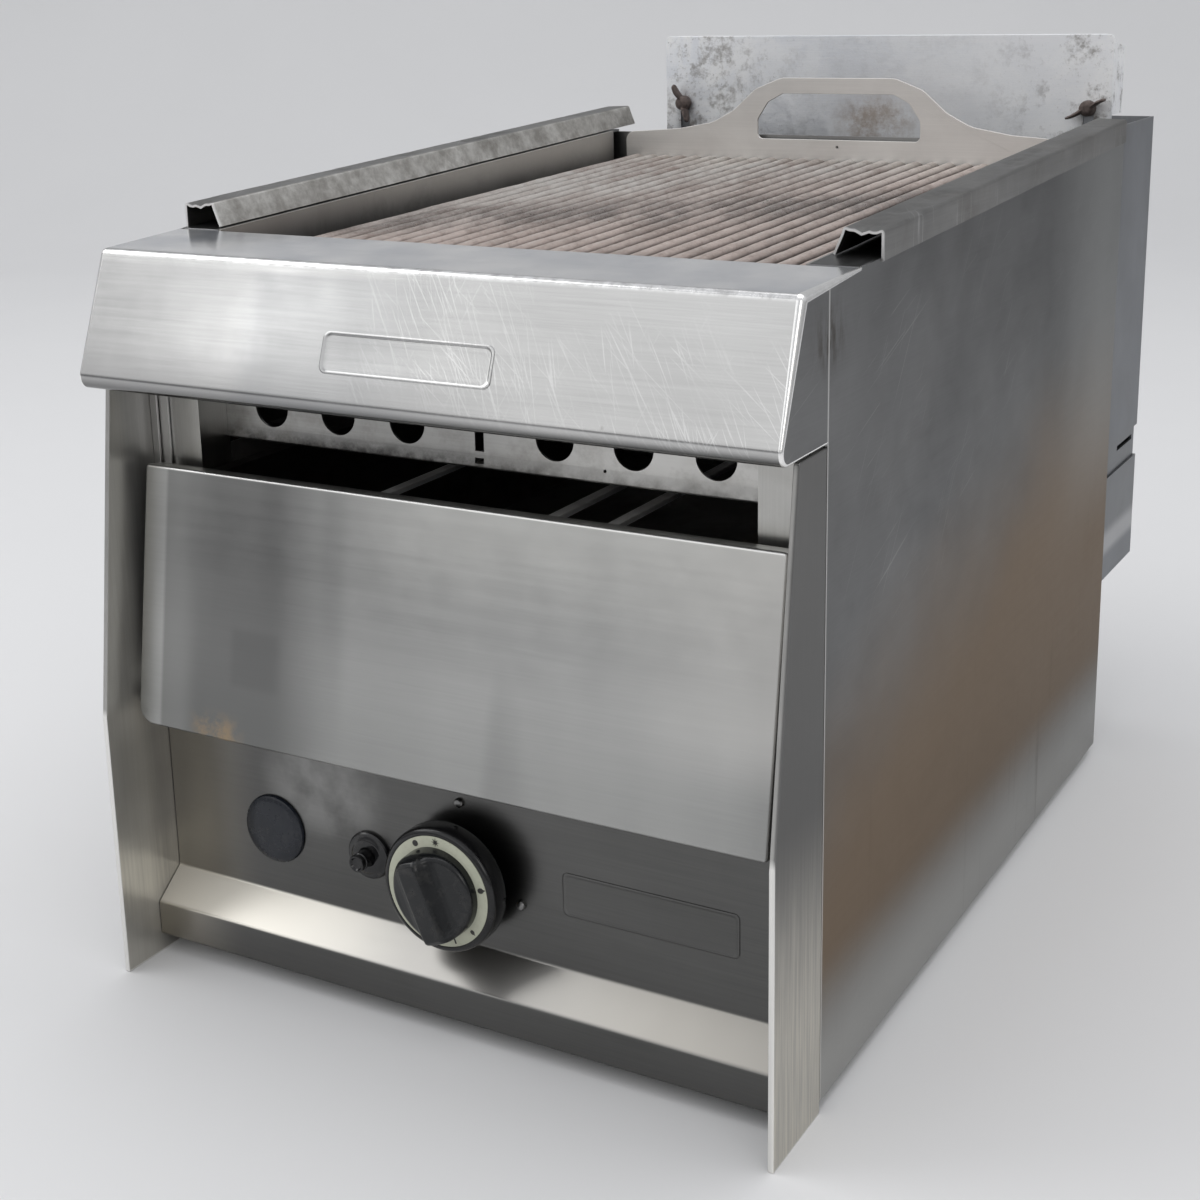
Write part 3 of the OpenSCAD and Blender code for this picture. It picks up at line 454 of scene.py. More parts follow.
def make_grate():
    m = Mat("greasy_grate")
    x, y, z = m.xyz()
    n1 = m.noise(28, 7, 0.68, (1, 0.45, 1), distort=0.8)
    n2 = m.noise(190, 6, 0.7, (1, 0.5, 1))
    n3 = m.noise(900, 4, 0.7, (1, 0.35, 1))
    grey = (0.56, 0.535, 0.505)
    pink = (0.56, 0.46, 0.415)
    left = m.math("ADD", m.math("MULTIPLY", x, 1.0), m.math("MULTIPLY", y, -0.75))
    k = m.map(left, -0.16, 0.05, 0, 1, smooth=True)
    col = m.mix(k, grey, pink)
    col = m.mix(m.map(n1, 0.42, 0.70), col, (0.30, 0.235, 0.205))
    # darker burnt smudge across the middle
    d = m.math("ABSOLUTE", m.math("ADD", m.math("ADD", y, 0.03), m.math("MULTIPLY", x, -0.55)))
    sm = m.math("MULTIPLY", m.map(d, 0.01, 0.085, 1, 0, smooth=True), m.map(n1, 0.30, 0.58))
    col = m.mix(m.math("MULTIPLY", sm, 0.75), col, (0.115, 0.092, 0.082))
    col = m.mix(m.math("MULTIPLY", m.map(n2, 0.52, 0.74), 0.6), col, (0.16, 0.12, 0.10))
    tan = m.ramp(n2, [(0.27, 1.0), (0.36, 0.0)])
    col = m.mix(m.math("MULTIPLY", tan, 0.45), col, (0.62, 0.40, 0.26))
    depth = m.math("SUBTRACT", m.math("ADD", m.math("MULTIPLY", m.math("ADD", y, 0.165), 0.02898), 0.4015), z)
    gap = m.math("MULTIPLY", m.map(n3, 0.35, 0.65), 0.5)
    col = m.mix(gap, col, m.mix(0.6, col, (0.62, 0.57, 0.53)))
    # painted shade deep between the ribs
    kk = m.math("MULTIPLY", m.map(depth, 0.0009, 0.0038, 0, 1, smooth=True), m.map(k, 0, 1, 0.72, 0.95))
    col = m.mix(kk, col, (0.035, 0.027, 0.023))
    # painted highlight on the rib crests, patchy with noise
    crest = m.map(depth, 0.0008, 0.0, 0, 1)
    col = m.mix(m.math("MULTIPLY", crest, m.map(n2, 0.55, 0.35, 0, 0.55)), col, (0.86, 0.80, 0.74))
    r = m.math("ADD", m.map(n2, 0.3, 0.7, 0.30, 0.62), m.math("MULTIPLY", sm, -0.12))
    nb = m.bump(n3, 0.45, 0.0005)
    nb = m.bump(n2, 0.5, 0.0016, nb)
    return m.set(col, r, 0.75, nb, Specular_IOR_Level=0.5)


M["grate"] = make_grate()


def make_splash():
    m = Mat("oxidised_splash")
    x, y, z = m.xyz()
    a = m.noise(20, 8, 0.72, distort=0.9)
    b = m.noise(75, 8, 0.75, loc=(4, 4, 4))
    c = m.noise(420, 5, 0.7)
    fine = m.noise(2400, 3, 0.6, AX["x"])
    col = m.mix(m.map(fine, 0.3, 0.7), (0.74, 0.76, 0.80), (0.82, 0.835, 0.86))
    ends = m.map(m.math("ABSOLUTE", m.math("ADD", x, -0.01)), 0.05, 0.165, 0, 1, smooth=True)
    light = m.map(a, 0.40, 0.56)
    light = m.math("MULTIPLY", light, m.map(ends, 0, 1, 0.35, 1.0))
    col = m.mix(m.math("MULTIPLY", light, 0.8), col, (0.90, 0.90, 0.89))
    dark = m.math("MULTIPLY", m.map(b, 0.50, 0.64), m.map(ends, 0, 1, 0.12, 0.95))
    col = m.mix(dark, col, (0.30, 0.285, 0.27))
    sp = m.ramp(c, [(0.60, 0.0), (0.70, 1.0)])
    col = m.mix(m.math("MULTIPLY", sp, m.map(ends, 0, 1, 0.15, 0.75)), col, (0.18, 0.16, 0.15))
    # brown stain behind the grip
    dx = m.math("MULTIPLY", m.math("SUBTRACT", x, 0.0), 1.0)
    dz = m.math("MULTIPLY", m.math("SUBTRACT", z, 0.431), 1.5)
    rr = m.math("SQRT", m.math("ADD", m.math("MULTIPLY", dx, dx), m.math("MULTIPLY", dz, dz)))
    st = m.math("MULTIPLY", m.map(rr, 0.010, 0.042, 1, 0, smooth=True), m.map(b, 0.36, 0.60))
    col = m.mix(m.math("MULTIPLY", st, 0.7), col, (0.33, 0.24, 0.17))
    # dark streaks that run down from the screws
    for s in (-1, 1):
        w = m.map(m.math("ABSOLUTE", m.math("SUBTRACT", x, s * 0.156)), 0.002, 0.009, 1, 0, smooth=True)
        w = m.math("MULTIPLY", w, m.map(z, 0.436, 0.446, 1, 0, smooth=True))
        w = m.math("MULTIPLY", w, m.map(b, 0.34, 0.56))
        col = m.mix(m.math("MULTIPLY", w, 0.75), col, (0.14, 0.115, 0.10))
    # painted light: the right part lighter and less metallic, apart from the dark blotches
    rgt = m.map(x, -0.03, 0.13, 0, 1, smooth=True)
    col = m.mix(m.math("MULTIPLY", rgt, m.math("MULTIPLY", 0.45, m.math("SUBTRACT", 1.0, dark))), col, (0.97, 0.975, 0.98))
    met = m.math("SUBTRACT", 0.78, m.math("MULTIPLY", m.math("MAXIMUM", light, m.math("MULTIPLY", rgt, 0.9)), 0.50))
    r = m.math("ADD", 0.34, m.math("MULTIPLY", light, 0.22))
    nb = m.bump(c, 0.25, 0.0003)
    nb = m.bump(b, 0.2, 0.0008, nb)
    return m.set(col, r, met, nb)


M["splash"] = make_splash()


def make_rust():
    m = Mat("rusty_iron")
    a = m.noise(260, 6, 0.7)
    b = m.noise(1300, 5, 0.7)
    col = m.mix(m.map(a, 0.35, 0.65), (0.070, 0.056, 0.052), (0.165, 0.125, 0.110))
    col = m.mix(m.math("MULTIPLY", m.map(b, 0.5, 0.7), 0.6), col, (0.27, 0.235, 0.215))
    return m.set(col, m.map(b, 0.3, 0.7, 0.45, 0.85), m.map(a, 0.3, 0.7, 0.7, 0.2), m.bump(b, 0.8, 0.0006))


M["rust"] = make_rust()


def plastic(name, col, col2, rough, bump=0.12, scale=900, dust=0.06, **kw):
    m = Mat(name)
    a = m.noise(55, 5, 0.6)
    b = m.noise(scale, 4, 0.6)
    c = m.mix(m.map(a, 0.3, 0.7), col, col2)
    d = m.math("MULTIPLY", m.map(m.noise(140, 6, 0.7, loc=(2, 2, 8)), 0.52, 0.75), dust)
    c = m.mix(d, c, (0.42, 0.39, 0.34))
    r = m.math("ADD", m.map(a, 0.3, 0.7, rough * 0.8, rough * 1.2), m.math("MULTIPLY", d, 1.5))
    return m.set(c, r, 0.0, m.bump(b, bump, 0.0002), **kw)


M["knob"] = plastic("gloss_black_knob", (0.006, 0.006, 0.0065), (0.011, 0.011, 0.012), 0.15, 0.06, dust=0.03, Specular_IOR_Level=0.42)
M["grip"] = plastic("black_grip", (0.006, 0.007, 0.008), (0.013, 0.014, 0.015), 0.20, 0.08, dust=0.05, Specular_IOR_Level=0.42)
M["plug"] = plastic("satin_black_plug", (0.007, 0.009, 0.014), (0.013, 0.016, 0.023), 0.26, 0.16, dust=0.05, Specular_IOR_Level=0.40)
M["igniter"] = plastic("gloss_black_igniter", (0.005, 0.005, 0.006), (0.010, 0.010, 0.011), 0.14, 0.08, dust=0.06)
M["lead"] = plastic("silicone_lead", (0.10, 0.030, 0.020), (0.14, 0.045, 0.030), 0.50, 0.2)
M["ceramic"] = plastic("glazed_ceramic", (0.80, 0.78, 0.72), (0.88, 0.86, 0.80), 0.22, 0.1, dust=0.15)
M["ink"] = plastic("printed_black", (0.015, 0.015, 0.014), (0.035, 0.034, 0.030), 0.45, 0.1)


def make_ring():
    m = Mat("cream_scale_ring")
    a = m.noise(60, 5, 0.6)
    b = m.noise(380, 5, 0.7)
    col = m.mix(m.map(a, 0.3, 0.7), (0.43, 0.445, 0.35), (0.50, 0.51, 0.405))
    col = m.mix(m.math("MULTIPLY", m.map(b, 0.50, 0.72), 0.35), col, (0.34, 0.32, 0.24))
    return m.set(col, m.map(b, 0.3, 0.7, 0.38, 0.58), 0.0, m.bump(b, 0.15, 0.0003))


M["ring"] = make_ring()

# ------------------------------------------------------------------ mesh helpers (millimetres in, metres out)


def V2(a):
    return np.array(a, float)


def corner(a, b, c, r, n):
    if r <= 0:
        return [tuple(b)]
    a, b, c = V2(a), V2(b), V2(c)
    u = (a - b) / np.linalg.norm(a - b)
    v = (c - b) / np.linalg.norm(c - b)
    h = math.acos(max(-1, min(1, float(u @ v)))) / 2
    d = r / math.tan(h)
    w = (u + v) / np.linalg.norm(u + v)
    m = b + w * r / math.sin(h)
    s, e = b + u * d - m, b + v * d - m
    a0, a1 = math.atan2(s[1], s[0]), math.atan2(e[1], e[0])
    da = a1 - a0
    if da > math.pi:
        da -= 2 * math.pi
    if da < -math.pi:
        da += 2 * math.pi
    return [tuple(m + r * V2((math.cos(a0 + da * k / n), math.sin(a0 + da * k / n)))) for k in range(n + 1)]


def bent(q, n):
    out = []
    for i, (p, r) in enumerate(q):
        if i in (0, len(q) - 1):
            out.append(tuple(p))
        else:
            out += corner(q[i - 1][0], p, q[i + 1][0], r, n)
    return out


def ring(q, n):
    m = len(q)
    out = []
    for i in range(m):
        out += corner(q[(i - 1) % m][0], q[i][0], q[(i + 1) % m][0], q[i][1], n)
    return out


def normals(p):
    """Left-hand normals at the points of an open line, mitred."""
    p = [V2(x) for x in p]
    seg = []
    for a, b in zip(p[:-1], p[1:]):
        d = (b - a) / max(1e-9, np.linalg.norm(b - a))
        seg.append(V2((-d[1], d[0])))
    out = []
    for i in range(len(p)):
        if i == 0:
            out.append(seg[0])
        elif i == len(p) - 1:
            out.append(seg[-1])
        else:
            m = seg[i - 1] + seg[i]
            m = m / np.linalg.norm(m)
            out.append(m / max(0.3, float(m @ seg[i])))
    return out


def offset(p, w):
    return [tuple(V2(a) + w * n) for a, n in zip(p, normals(p))]


def folded(p, w):
    return list(p) + offset(p, w)[::-1]


def finish_obj(o, mat, body, replaces=(), angle=32, bevel=0.0, seg=2, bevel_angle=40):
    me = o.data
    me.materials.clear()
    for m in mat if isinstance(mat, (list, tuple)) else [mat]:
        me.materials.append(m)
    for p in me.polygons:
        p.use_smooth = True
    me.set_sharp_from_angle(angle=math.radians(angle))
    if bevel:
        b = o.modifiers.new("bevel", "BEVEL")
        b.width = bevel * MM
        b.segments = seg
        b.limit_method = "ANGLE"
        b.angle_limit = math.radians(bevel_angle)
        b.harden_normals = True
    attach(o, body)
    if replaces:
        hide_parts(*replaces)
    return o


def raw(name, verts, faces, scale=MM):
    me = bpy.data.meshes.new(name)
    me.from_pydata([tuple(scale * c for c in v) for v in verts], [], faces)
    me.validate()
    me.update()
    o = bpy.data.objects.new(name, me)
    bpy.context.scene.collection.objects.link(o)
    return o


def fix(o, merge=0.0):
    bm = bmesh.new()
    bm.from_mesh(o.data)
    if merge:
        bmesh.ops.remove_doubles(bm, verts=bm.verts, dist=merge)
    bmesh.ops.recalc_face_normals(bm, faces=bm.faces)
    bm.to_mesh(o.data)
    bm.free()
    return o


def bake_mods(o):
    dg = bpy.context.evaluated_depsgraph_get()
    dg.update()
    me = bpy.data.meshes.new_from_object(o.evaluated_get(dg))
    old = o.data
    o.modifiers.clear()
    o.data = me
    bpy.data.meshes.remove(old)
    return o


def cut(o, cutters):
    for c in cutters:
        b = o.modifiers.new("cut", "BOOLEAN")
        b.operation = "DIFFERENCE"
        b.solver = "EXACT"
        b.object = c
    bpy.context.view_layer.update()
    bake_mods(o)
    for c in cutters:
        bpy.data.objects.remove(c)
    return o


def join_parts(name, parts):
    """Joins several (verts, faces) lists into one."""
    vs, fs = [], []
    for v, f in parts:
        k = len(vs)
        vs += list(v)
        fs += [tuple(i + k for i in face) for face in f]
    return raw(name, vs, fs)


def prism(outline, a, b, axis="x", ends=True):
    """Closed outline drawn out along an axis; outline is in the other two axes in order."""
    n = len(outline)

    def put(p, t):
        if axis == "x":
            return (t, p[0], p[1])
        if axis == "y":
            return (p[0], t, p[1])
        return (p[0], p[1], t)

    vs = [put(p, a) for p in outline] + [put(p, b) for p in outline]
    fs = [(i, (i + 1) % n, n + (i + 1) % n, n + i) for i in range(n)]
    if ends:
        fs += [tuple(range(n))[::-1], tuple(range(n, 2 * n))]
    return vs, fs


def loft(rings, closed=True, caps=True):
    """Faces between successive rings of equal length."""
    n = len(rings[0])
    vs = [p for r in rings for p in r]
    fs = []
    for k in range(len(rings) - 1):
        for i in range(n if closed else n - 1):
            j = (i + 1) % n
            fs.append((k * n + i, k * n + j, (k + 1) * n + j, (k + 1) * n + i))
    if caps:
        fs.append(tuple(range(n))[::-1])
        fs.append(tuple(range((len(rings) - 1) * n, len(rings) * n)))
    return vs, fs


def lathe(profile, centre, n=96):
    """Profile of (radius, y) turned about the Y direction through centre (x, z)."""
    rings = []
    for r, y in profile:
        rings.append([(centre[0] + r * math.cos(2 * math.pi * k / n), y, centre[1] + r * math.sin(2 * math.pi * k / n)) for k in range(n)])
    vs, fs = loft(rings, True, False)
    # close the two ends with fans when they are not on the axis
    for idx in (0, len(rings) - 1):
        r, y = profile[idx]
        base = idx * n
        if r > 1e-6:
            fs.append(tuple(range(base, base + n)))
    return vs, fs


def box_part(a, b):
    (x0, y0, z0), (x1, y1, z1) = a, b
    vs = [(x, y, z) for x in (x0, x1) for y in (y0, y1) for z in (z0, z1)]
    return vs, [(0, 1, 3, 2), (4, 6, 7, 5), (0, 4, 5, 1), (2, 3, 7, 6), (0, 2, 6, 4), (1, 5, 7, 3)]


def ycylinder(name, x, z, y0, y1, r, n=64):
    vs, fs = prism([(x + r * math.cos(2 * math.pi * k / n), z + r * math.sin(2 * math.pi * k / n)) for k in range(n)], y0, y1, "y")
    return fix(raw(name, vs, fs))


# ------------------------------------------------------------------ dimensions shared with the CAD
T = 1.5
XO, XI = 200.0, 198.5
SL = 0.0389
Y_HOOD, Z_REAR, LIP, HH = -236.0, 410.5, 336.5, 408.0
Y_BACK, Y_SEAM = 226.0, -272.5


def zt(y):
    return Z_REAR + (y - Y_HOOD) * SL


def zr(y):
    return zt(y) + 13


Y_LIP = -299.5 - (HH - LIP) * 0.368
hood_outer = bent([[(Y_HOOD, 398), 0], [(Y_HOOD, Z_REAR), 2], [(-299.5, HH), 4], [(Y_LIP, LIP), 7], [(-300, LIP), 0]], 14)

# ------------------------------------------------------------------ hood


def weld_r(p):
    """Radius of the ground corner along the hood's end: widest at the top of the face."""
    y, z = p
    if z > HH - 0.2 and y > -296:
        return 1.3
    f = max(0.0, min(1.0, (z - LIP) / (HH - LIP)))
    return 1.5 + 2.3 * f


def hood():
    outer = hood_outer
    inner = offset(outer, T)
    n = len(outer)
    xs = [-1] + [k / 40 * 2 - 1 for k in range(1, 40)] + [1]
    rings = []
    for s in xs:
        row = []
        for p in outer:
            e = XO - weld_r(p)
            row.append((s * e, p[0], p[1]))
        for p in inner[::-1]:
            row.append((s * 198.3, p[0], p[1]))
        rings.append(row)
    parts = [loft(rings, True, True)]
    o = fix(join_parts("hood_shell", parts))
    finish_obj(o, M["hood"], "chassis", ["front_hood"], angle=30)
    # blank pressed plaque with a raised rim
    tilt = math.atan2(0.368, 1)
    ny, nz = -math.cos(tilt), math.sin(tilt)  # outward normal of the face
    dy, dz = -math.sin(tilt), -math.cos(tilt)  # down the face
    org = (-299.5, HH)

    def at(x, d, w):
        return (x, org[0] + dy * d + ny * w, org[1] + dz * d + nz * w)

    out = ring([[(-46, 33), 4], [(52, 33), 4], [(52, 54), 4], [(-46, 54), 4]], 8)
    cx, cy = 3.0, 43.5
    rings = []
    for inset, w in ((0, -0.3), (0, 0.28), (0.25, 0.46), (1.1, 0.48), (1.5, 0.20), (2.2, 0.16)):
        row = []
        for p in out:
            q = (cx + (p[0] - cx) * (1 - inset / 49), cy + (p[1] - cy) * (1 - inset / 10.5))
            row.append(at(q[0], q[1], w))
        rings.append(row)
    o = fix(join_parts("hood_plaque", [loft(rings, True, True)]))
    finish_obj(o, M["hood"], "chassis", (), angle=50)


hood()


def side_run():
    """The hood's end outline from the rear top corner round to the seam."""
    pts = bent([[(Y_HOOD + 3, Z_REAR + 3 * SL), 0], [(Y_HOOD, Z_REAR), 0.01], [(-299.5, HH), 4], [(Y_LIP, LIP), 7], [(Y_SEAM, LIP), 0]], 14)
    return pts


def weld_strips():
    pts = side_run()
    nn = normals(pts)
    for s, nm in ((-1, "left"), (1, "right")):
        rings = []
        for (y, z), n in zip(pts, nn):
            n = -n / np.linalg.norm(n)  # outward
            n = -n if (n @ (V2((y, z)) - V2((-265, 370)))) < 0 else n
            r = weld_r((y, z))
            row = []
            for k in range(9):
                a = math.pi / 2 * k / 8
                q = V2((y, z)) - n * r + n * r * math.cos(a)
                row.append((s * (XO - r + r * math.sin(a)), q[0], q[1]))
            for k in range(8, -1, -1):
                a = math.pi / 2 * k / 8
                q = V2((y, z)) - n * r + n * (r - 0.7) * math.cos(a)
                row.append((s * (XO - r + (r - 0.7) * math.sin(a)), q[0], q[1]))
            rings.append(row)
        o = fix(join_parts("weld_edge_" + nm, [loft(rings, True, True)]))
        finish_obj(o, M["weld"], "chassis", (), angle=50)


weld_strips()


def side_panel(s, nm):
    run = side_run()
    nn = normals(run)
    inset = []
    for (y, z), n in zip(run, nn):
        n = -n / np.linalg.norm(n)
        n = -n if (n @ (V2((y, z)) - V2((-265, 370)))) < 0 else n
        inset.append(tuple(V2((y, z)) - n * weld_r((y, z))))
    body = [(Y_SEAM, 6.5), (Y_BACK, 6.5), (Y_BACK, zt(Y_BACK)), (Y_HOOD + 3, zt(Y_HOOD + 3) - 0.02)] + inset[1:-1] + [(Y_SEAM, LIP + weld_r((Y_SEAM, LIP)))]
    parts = [prism(body, s * XI, s * XO, "x")]
    fl = [(-234.5, zt(-234.5) - T), (Y_BACK, zt(Y_BACK) - T), (Y_BACK, zt(Y_BACK)), (-234.5, zt(-234.5))]
    parts.append(prism(fl, s * 174, s * XI, "x"))
    x0, x1 = sorted((s * 186, s * XI))
    parts.append(box_part((x0, Y_SEAM, 9.7), (x1, Y_SEAM + T, 335)))
    x0, x1 = sorted((s * 180, s * XI))
    parts.append(box_part((x0, Y_SEAM, 6.5), (x1, 224, 8)))
    o = fix(join_parts("side_skin_" + nm, parts))
    finish_obj(o, M["side"], "chassis", ["side_panel_" + nm], bevel=0.4, seg=3)


side_panel(-1, "left")
side_panel(1, "right")


def cheek(s, nm):
    prof = ring([[(-328, 0.0), 0.8], [(-273, 0), 0.8], [(-273, 335.5), 0.8], [(-303.8, 335.5), 1.5], [(-328, 153), 6]], 5)
    parts = [prism(prof, s * 197, s * XO, "x")]
    for a, b in ((150, 335.5), (14, 144)):
        x0, x1 = sorted((s * (192 if a == 150 else 186), s * 197))
        parts.append(box_part((x0, -274.5, a), (x1, -273, b)))
    o = fix(join_parts("cheek_skin_" + nm, parts))
    finish_obj(o, M["cheek"], "chassis", ["cheek_" + nm], bevel=0.55, seg=3)


cheek(-1, "left")
cheek(1, "right")


def control_panel():
    line = bent([[(-262, 146), 0], [(-280.5, 146), 2.2], [(-280.5, 46.5), 2.2], [(-300, 31), 2.2], [(-300, 10.5), 2.2], [(-286, 10.5), 0]], 10)
    o = fix(join_parts("control_skin", [prism(folded(line, T), -196.6, 196.6, "x")]))
    cutters = [ycylinder("c1", 0, 85.5, -285, -275, 9), ycylinder("c2", -58.5, 83.5, -285, -275, 11), ycylinder("c3", -123, 85, -285, -275, 17.5)]
    for x0, x1 in ((-200, -185.5), (185.5, 200)):
        v, f = box_part((x0, -273.2, 140), (x1, -258, 150))
        cutters.append(fix(raw("c4", v, f)))
    cut(o, cutters)
    finish_obj(o, M["panel"], "chassis", ["control_panel"], angle=30)
    out = ring([[(62, 77), 3], [(161, 77), 3], [(161, 101), 3], [(62, 101), 3]], 8)
    cx, cy = 111.5, 89.0
    rings = []
    for inset, w in ((0, -279.9), (0, -280.75), (0.25, -281.0), (1.1, -281.02), (1.5, -280.75), (2.2, -280.7)):
        rings.append([(cx + (p[0] - cx) * (1 - inset / 49.5), w, cy + (p[1] - cy) * (1 - inset / 12)) for p in out])
    o = fix(join_parts("panel_plaque", [loft(rings, True, True)]))
    finish_obj(o, M["panel"], "chassis", (), angle=50)


control_panel()


def baffle():
    prof = bent([[(-248, 396), 0], [(-248, 305.5), 3], [(-249.2, 298.2), 1.2], [(-240, 298.2), 0]], 8)
    o = fix(join_parts("baffle_skin", [prism(folded(prof, T), -165.4, 165.4, "x")]))
    cutters = [ycylinder("h%d" % i, x, 317.5, -256, -243, 11) for i, x in enumerate((-133.5, -89, -44.5, 44.5, 89, 133.5))]
    for a, b in (((-2.7, -256, 307), (2.7, -243, 326)), ((-2.7, -256, 300.6), (2.7, -243, 303.6))):
        v, f = box_part(a, b)
        cutters.append(fix(raw("s", v, f)))
    cutters.append(ycylinder("tiny", 73, 304.6, -256, -243, 0.9, 20))
    cut(o, cutters)
    finish_obj(o, M["baffle"], "chassis", ["front_baffle"], angle=30)


baffle()

# ------------------------------------------------------------------ drawer front
DA = math.atan2(22, 142)


def on_front(x, d, w):
    """x across, d up the slope from the lower edge, w behind the front face (mm)."""
    return (x, -312 + w * math.cos(DA) + d * math.sin(DA), 148 - w * math.sin(DA) + d * math.cos(DA))


def door():
    H = 142 / math.cos(DA)
    R = 1.6
    base = [[(-189, 0), 10], [(189, 0), 2.5], [(189, H), 2.5], [(-189, H), 2.5]]

    def outline(i):
        q = [[(-189 + i, i), 10 - i], [(189 - i, i), 2.5 - min(i, 2.2)], [(189 - i, H - i), 2.5 - min(i, 2.2)], [(-189 + i, H - i), 2.5 - min(i, 2.2)]]
        return ring(q, 12)

    rings = []
    rings.append([on_front(p[0], p[1], 12.0) for p in outline(0)])
    rings.append([on_front(p[0], p[1], R) for p in outline(0)])
    for k in range(1, 7):
        a = math.pi / 2 * k / 6
        rings.append([on_front(p[0], p[1], R - R * math.sin(a)) for p in outline(R * (1 - math.cos(a)))])
    # inner side of the sheet
    rings.append([on_front(p[0], p[1], T) for p in outline(R)])
    rings.append([on_front(p[0], p[1], 12.0) for p in outline(T)])
    n = len(rings[0])
    front = 7
    vs = [p for r in rings for p in r]
    fs = []
    order = list(range(0, front + 1))
    for a, b in zip(order[:-1], order[1:]):
        for i in range(n):
            j = (i + 1) % n
            fs.append((a * n + i, a * n + j, b * n + j, b * n + i))
    fs.append(tuple(front * n + i for i in range(n)))
    a, b = 8, 9
    for i in range(n):
        j = (i + 1) % n
        fs.append((a * n + i, a * n + j, b * n + j, b * n + i))
    fs.append(tuple(8 * n + i for i in range(n)))
    for i in range(n):
        j = (i + 1) % n
        fs.append((9 * n + i, 9 * n + j, j, i))
    o = fix(raw("drawer_skin", vs, fs))
    finish_obj(o, M["door"], "water_drawer", ["drawer_front"], angle=30)


door()

# ------------------------------------------------------------------ rails


def rail(s, y0, y1, nm):
    L = y1 - y0
    prof0 = bent([[(201.25, -14.4), 0], [(201.25, 0), 2], [(181.5, 0.8), 2], [(176.4, -12.3), 0]], 7)
    # denser straight runs, so that dents can form
    dense = []
    for a, b in zip(prof0[:-1], prof0[1:]):
        a, b = V2(a), V2(b)
        k = max(1, int(np.linalg.norm(b - a) / 1.8))
        dense += [tuple(a + (b - a) * i / k) for i in range(k)]
    dense.append(prof0[-1])
    n = len(dense)
    steps = 150
    rings = []
    for j in range(steps + 1):
        f = j / steps
        y = y0 + L * f
        zz = zr(y)
        end = math.exp(-((y - y0) / 9.0) ** 2)
        line = []
        for px, pz in dense:
            top = max(0.0, 1 - abs(pz - 0.4) / 2.2) * max(0.0, math.sin(math.pi * (px - 181.5) / 19.75)) if 181.5 < px < 201.25 else 0.0
            d1 = noise.noise(Vector((px * 0.05, y * 0.035, 3.0 + s))) + 0.6 * noise.noise(Vector((px * 0.12, y * 0.13, 9.0 * s)))
            dent = max(0.0, d1 - 0.02)
            rip = max(0.0, noise.noise(Vector((y * 0.30 + px * 0.12, 4.0, s)))) * max(0.0, min(1.0, (y + 160) / 60)) * (1.0 if y < 80 else 0.3)
            dz = -top * (1.5 * dent + 0.55 * rip) - 1.7 * end * top * (1 + 0.4 * math.sin(px * 0.9))
            side = 1.0 if px > 200 else 0.0
            dx = -0.5 * side * max(0.0, noise.noise(Vector((pz * 0.1, y * 0.03, 7.0 * s)))) * max(0.0, min(1.0, -pz / 5))
            inner = 1.0 if px < 181.5 and pz < -1 else 0.0
            dx += 0.6 * inner * noise.noise(Vector((pz * 0.08, y * 0.04, 5.0 * s)))
            line.append((px + dx, pz + dz))
        off = offset(line, 1.15)
        row = [(s * p[0], y, zz + p[1]) for p in line] + [(s * p[0], y, zz + p[1]) for p in off[::-1]]
        rings.append(row)
    o = fix(join_parts("rail_skin_" + nm, [loft(rings, True, True)]))
    finish_obj(o, M["rail"], "chassis", ["rail_" + nm], angle=45)


rail(-1, -229, 255.8, "left")
rail(1, -211, Y_BACK, "right")

# ------------------------------------------------------------------ grate
GA = math.radians(1.66)


def on_grate(u, v, w):
    return (4 + u, -165 + v * math.cos(GA) - w * math.sin(GA), 401.5 + v * math.sin(GA) + w * math.cos(GA))


def grate():
    parts = []
    nrib, pitch, wd = 27, 11.9, 8.6
    steps = 80
    for k in range(nrib):
        u0 = (k - (nrib - 1) / 2) * pitch
        rr = wd / 2
        sec = [(-rr, -10), (-rr, -7.5), (-rr, -rr)]
        sec += [(-rr * math.cos(a), -rr + rr * math.sin(a)) for a in [math.pi * i / 10 for i in range(1, 10)]]
        sec += [(rr, -rr), (rr, -7.5), (rr, -10)]
        rings = []
        for j in range(steps + 1):
            v = -67 + 449 * j / steps
            e = min(v + 67, 382 - v)
            sh = math.sqrt(max(0.0, 1 - (1 - min(1.0, e / 2.2)) ** 2)) if e < 2.2 else 1.0
            row = []
            for a, b in sec:
                q = noise.noise(Vector((u0 * 0.7 + a * 0.25, v * 0.05, k * 1.7))) * 0.28 + noise.noise(Vector((a * 0.5 + k, v * 0.22, 8.0))) * 0.16
                t = max(0.0, (b + 9) / 9)
                row.append(on_grate(u0 + a * (0.88 + 0.12 * sh) * (1 + 0.02 * q), v, b + (min(0.0, q - 0.2) - 0.04) * t - (1 - sh) * 1.6 * t))
            rings.append(row)
        parts.append(loft(rings, True, True))
    hw = pitch * (nrib - 1) / 2 + wd / 2
    for v in (-55, 75, 210, 345):
        out = ring([[(v, -22), 0.8], [(v + 6, -22), 0.8], [(v + 6, -9), 0.3], [(v, -9), 0.3]], 3)
        rings = [[on_grate(u, p[0], p[1]) for p in out] for u in (-hw, hw)]
        parts.append(loft(rings, True, True))
    o = fix(join_parts("grate_bars", parts))
    finish_obj(o, M["grate"], "grate", ["grate_rack"], angle=50)


grate()


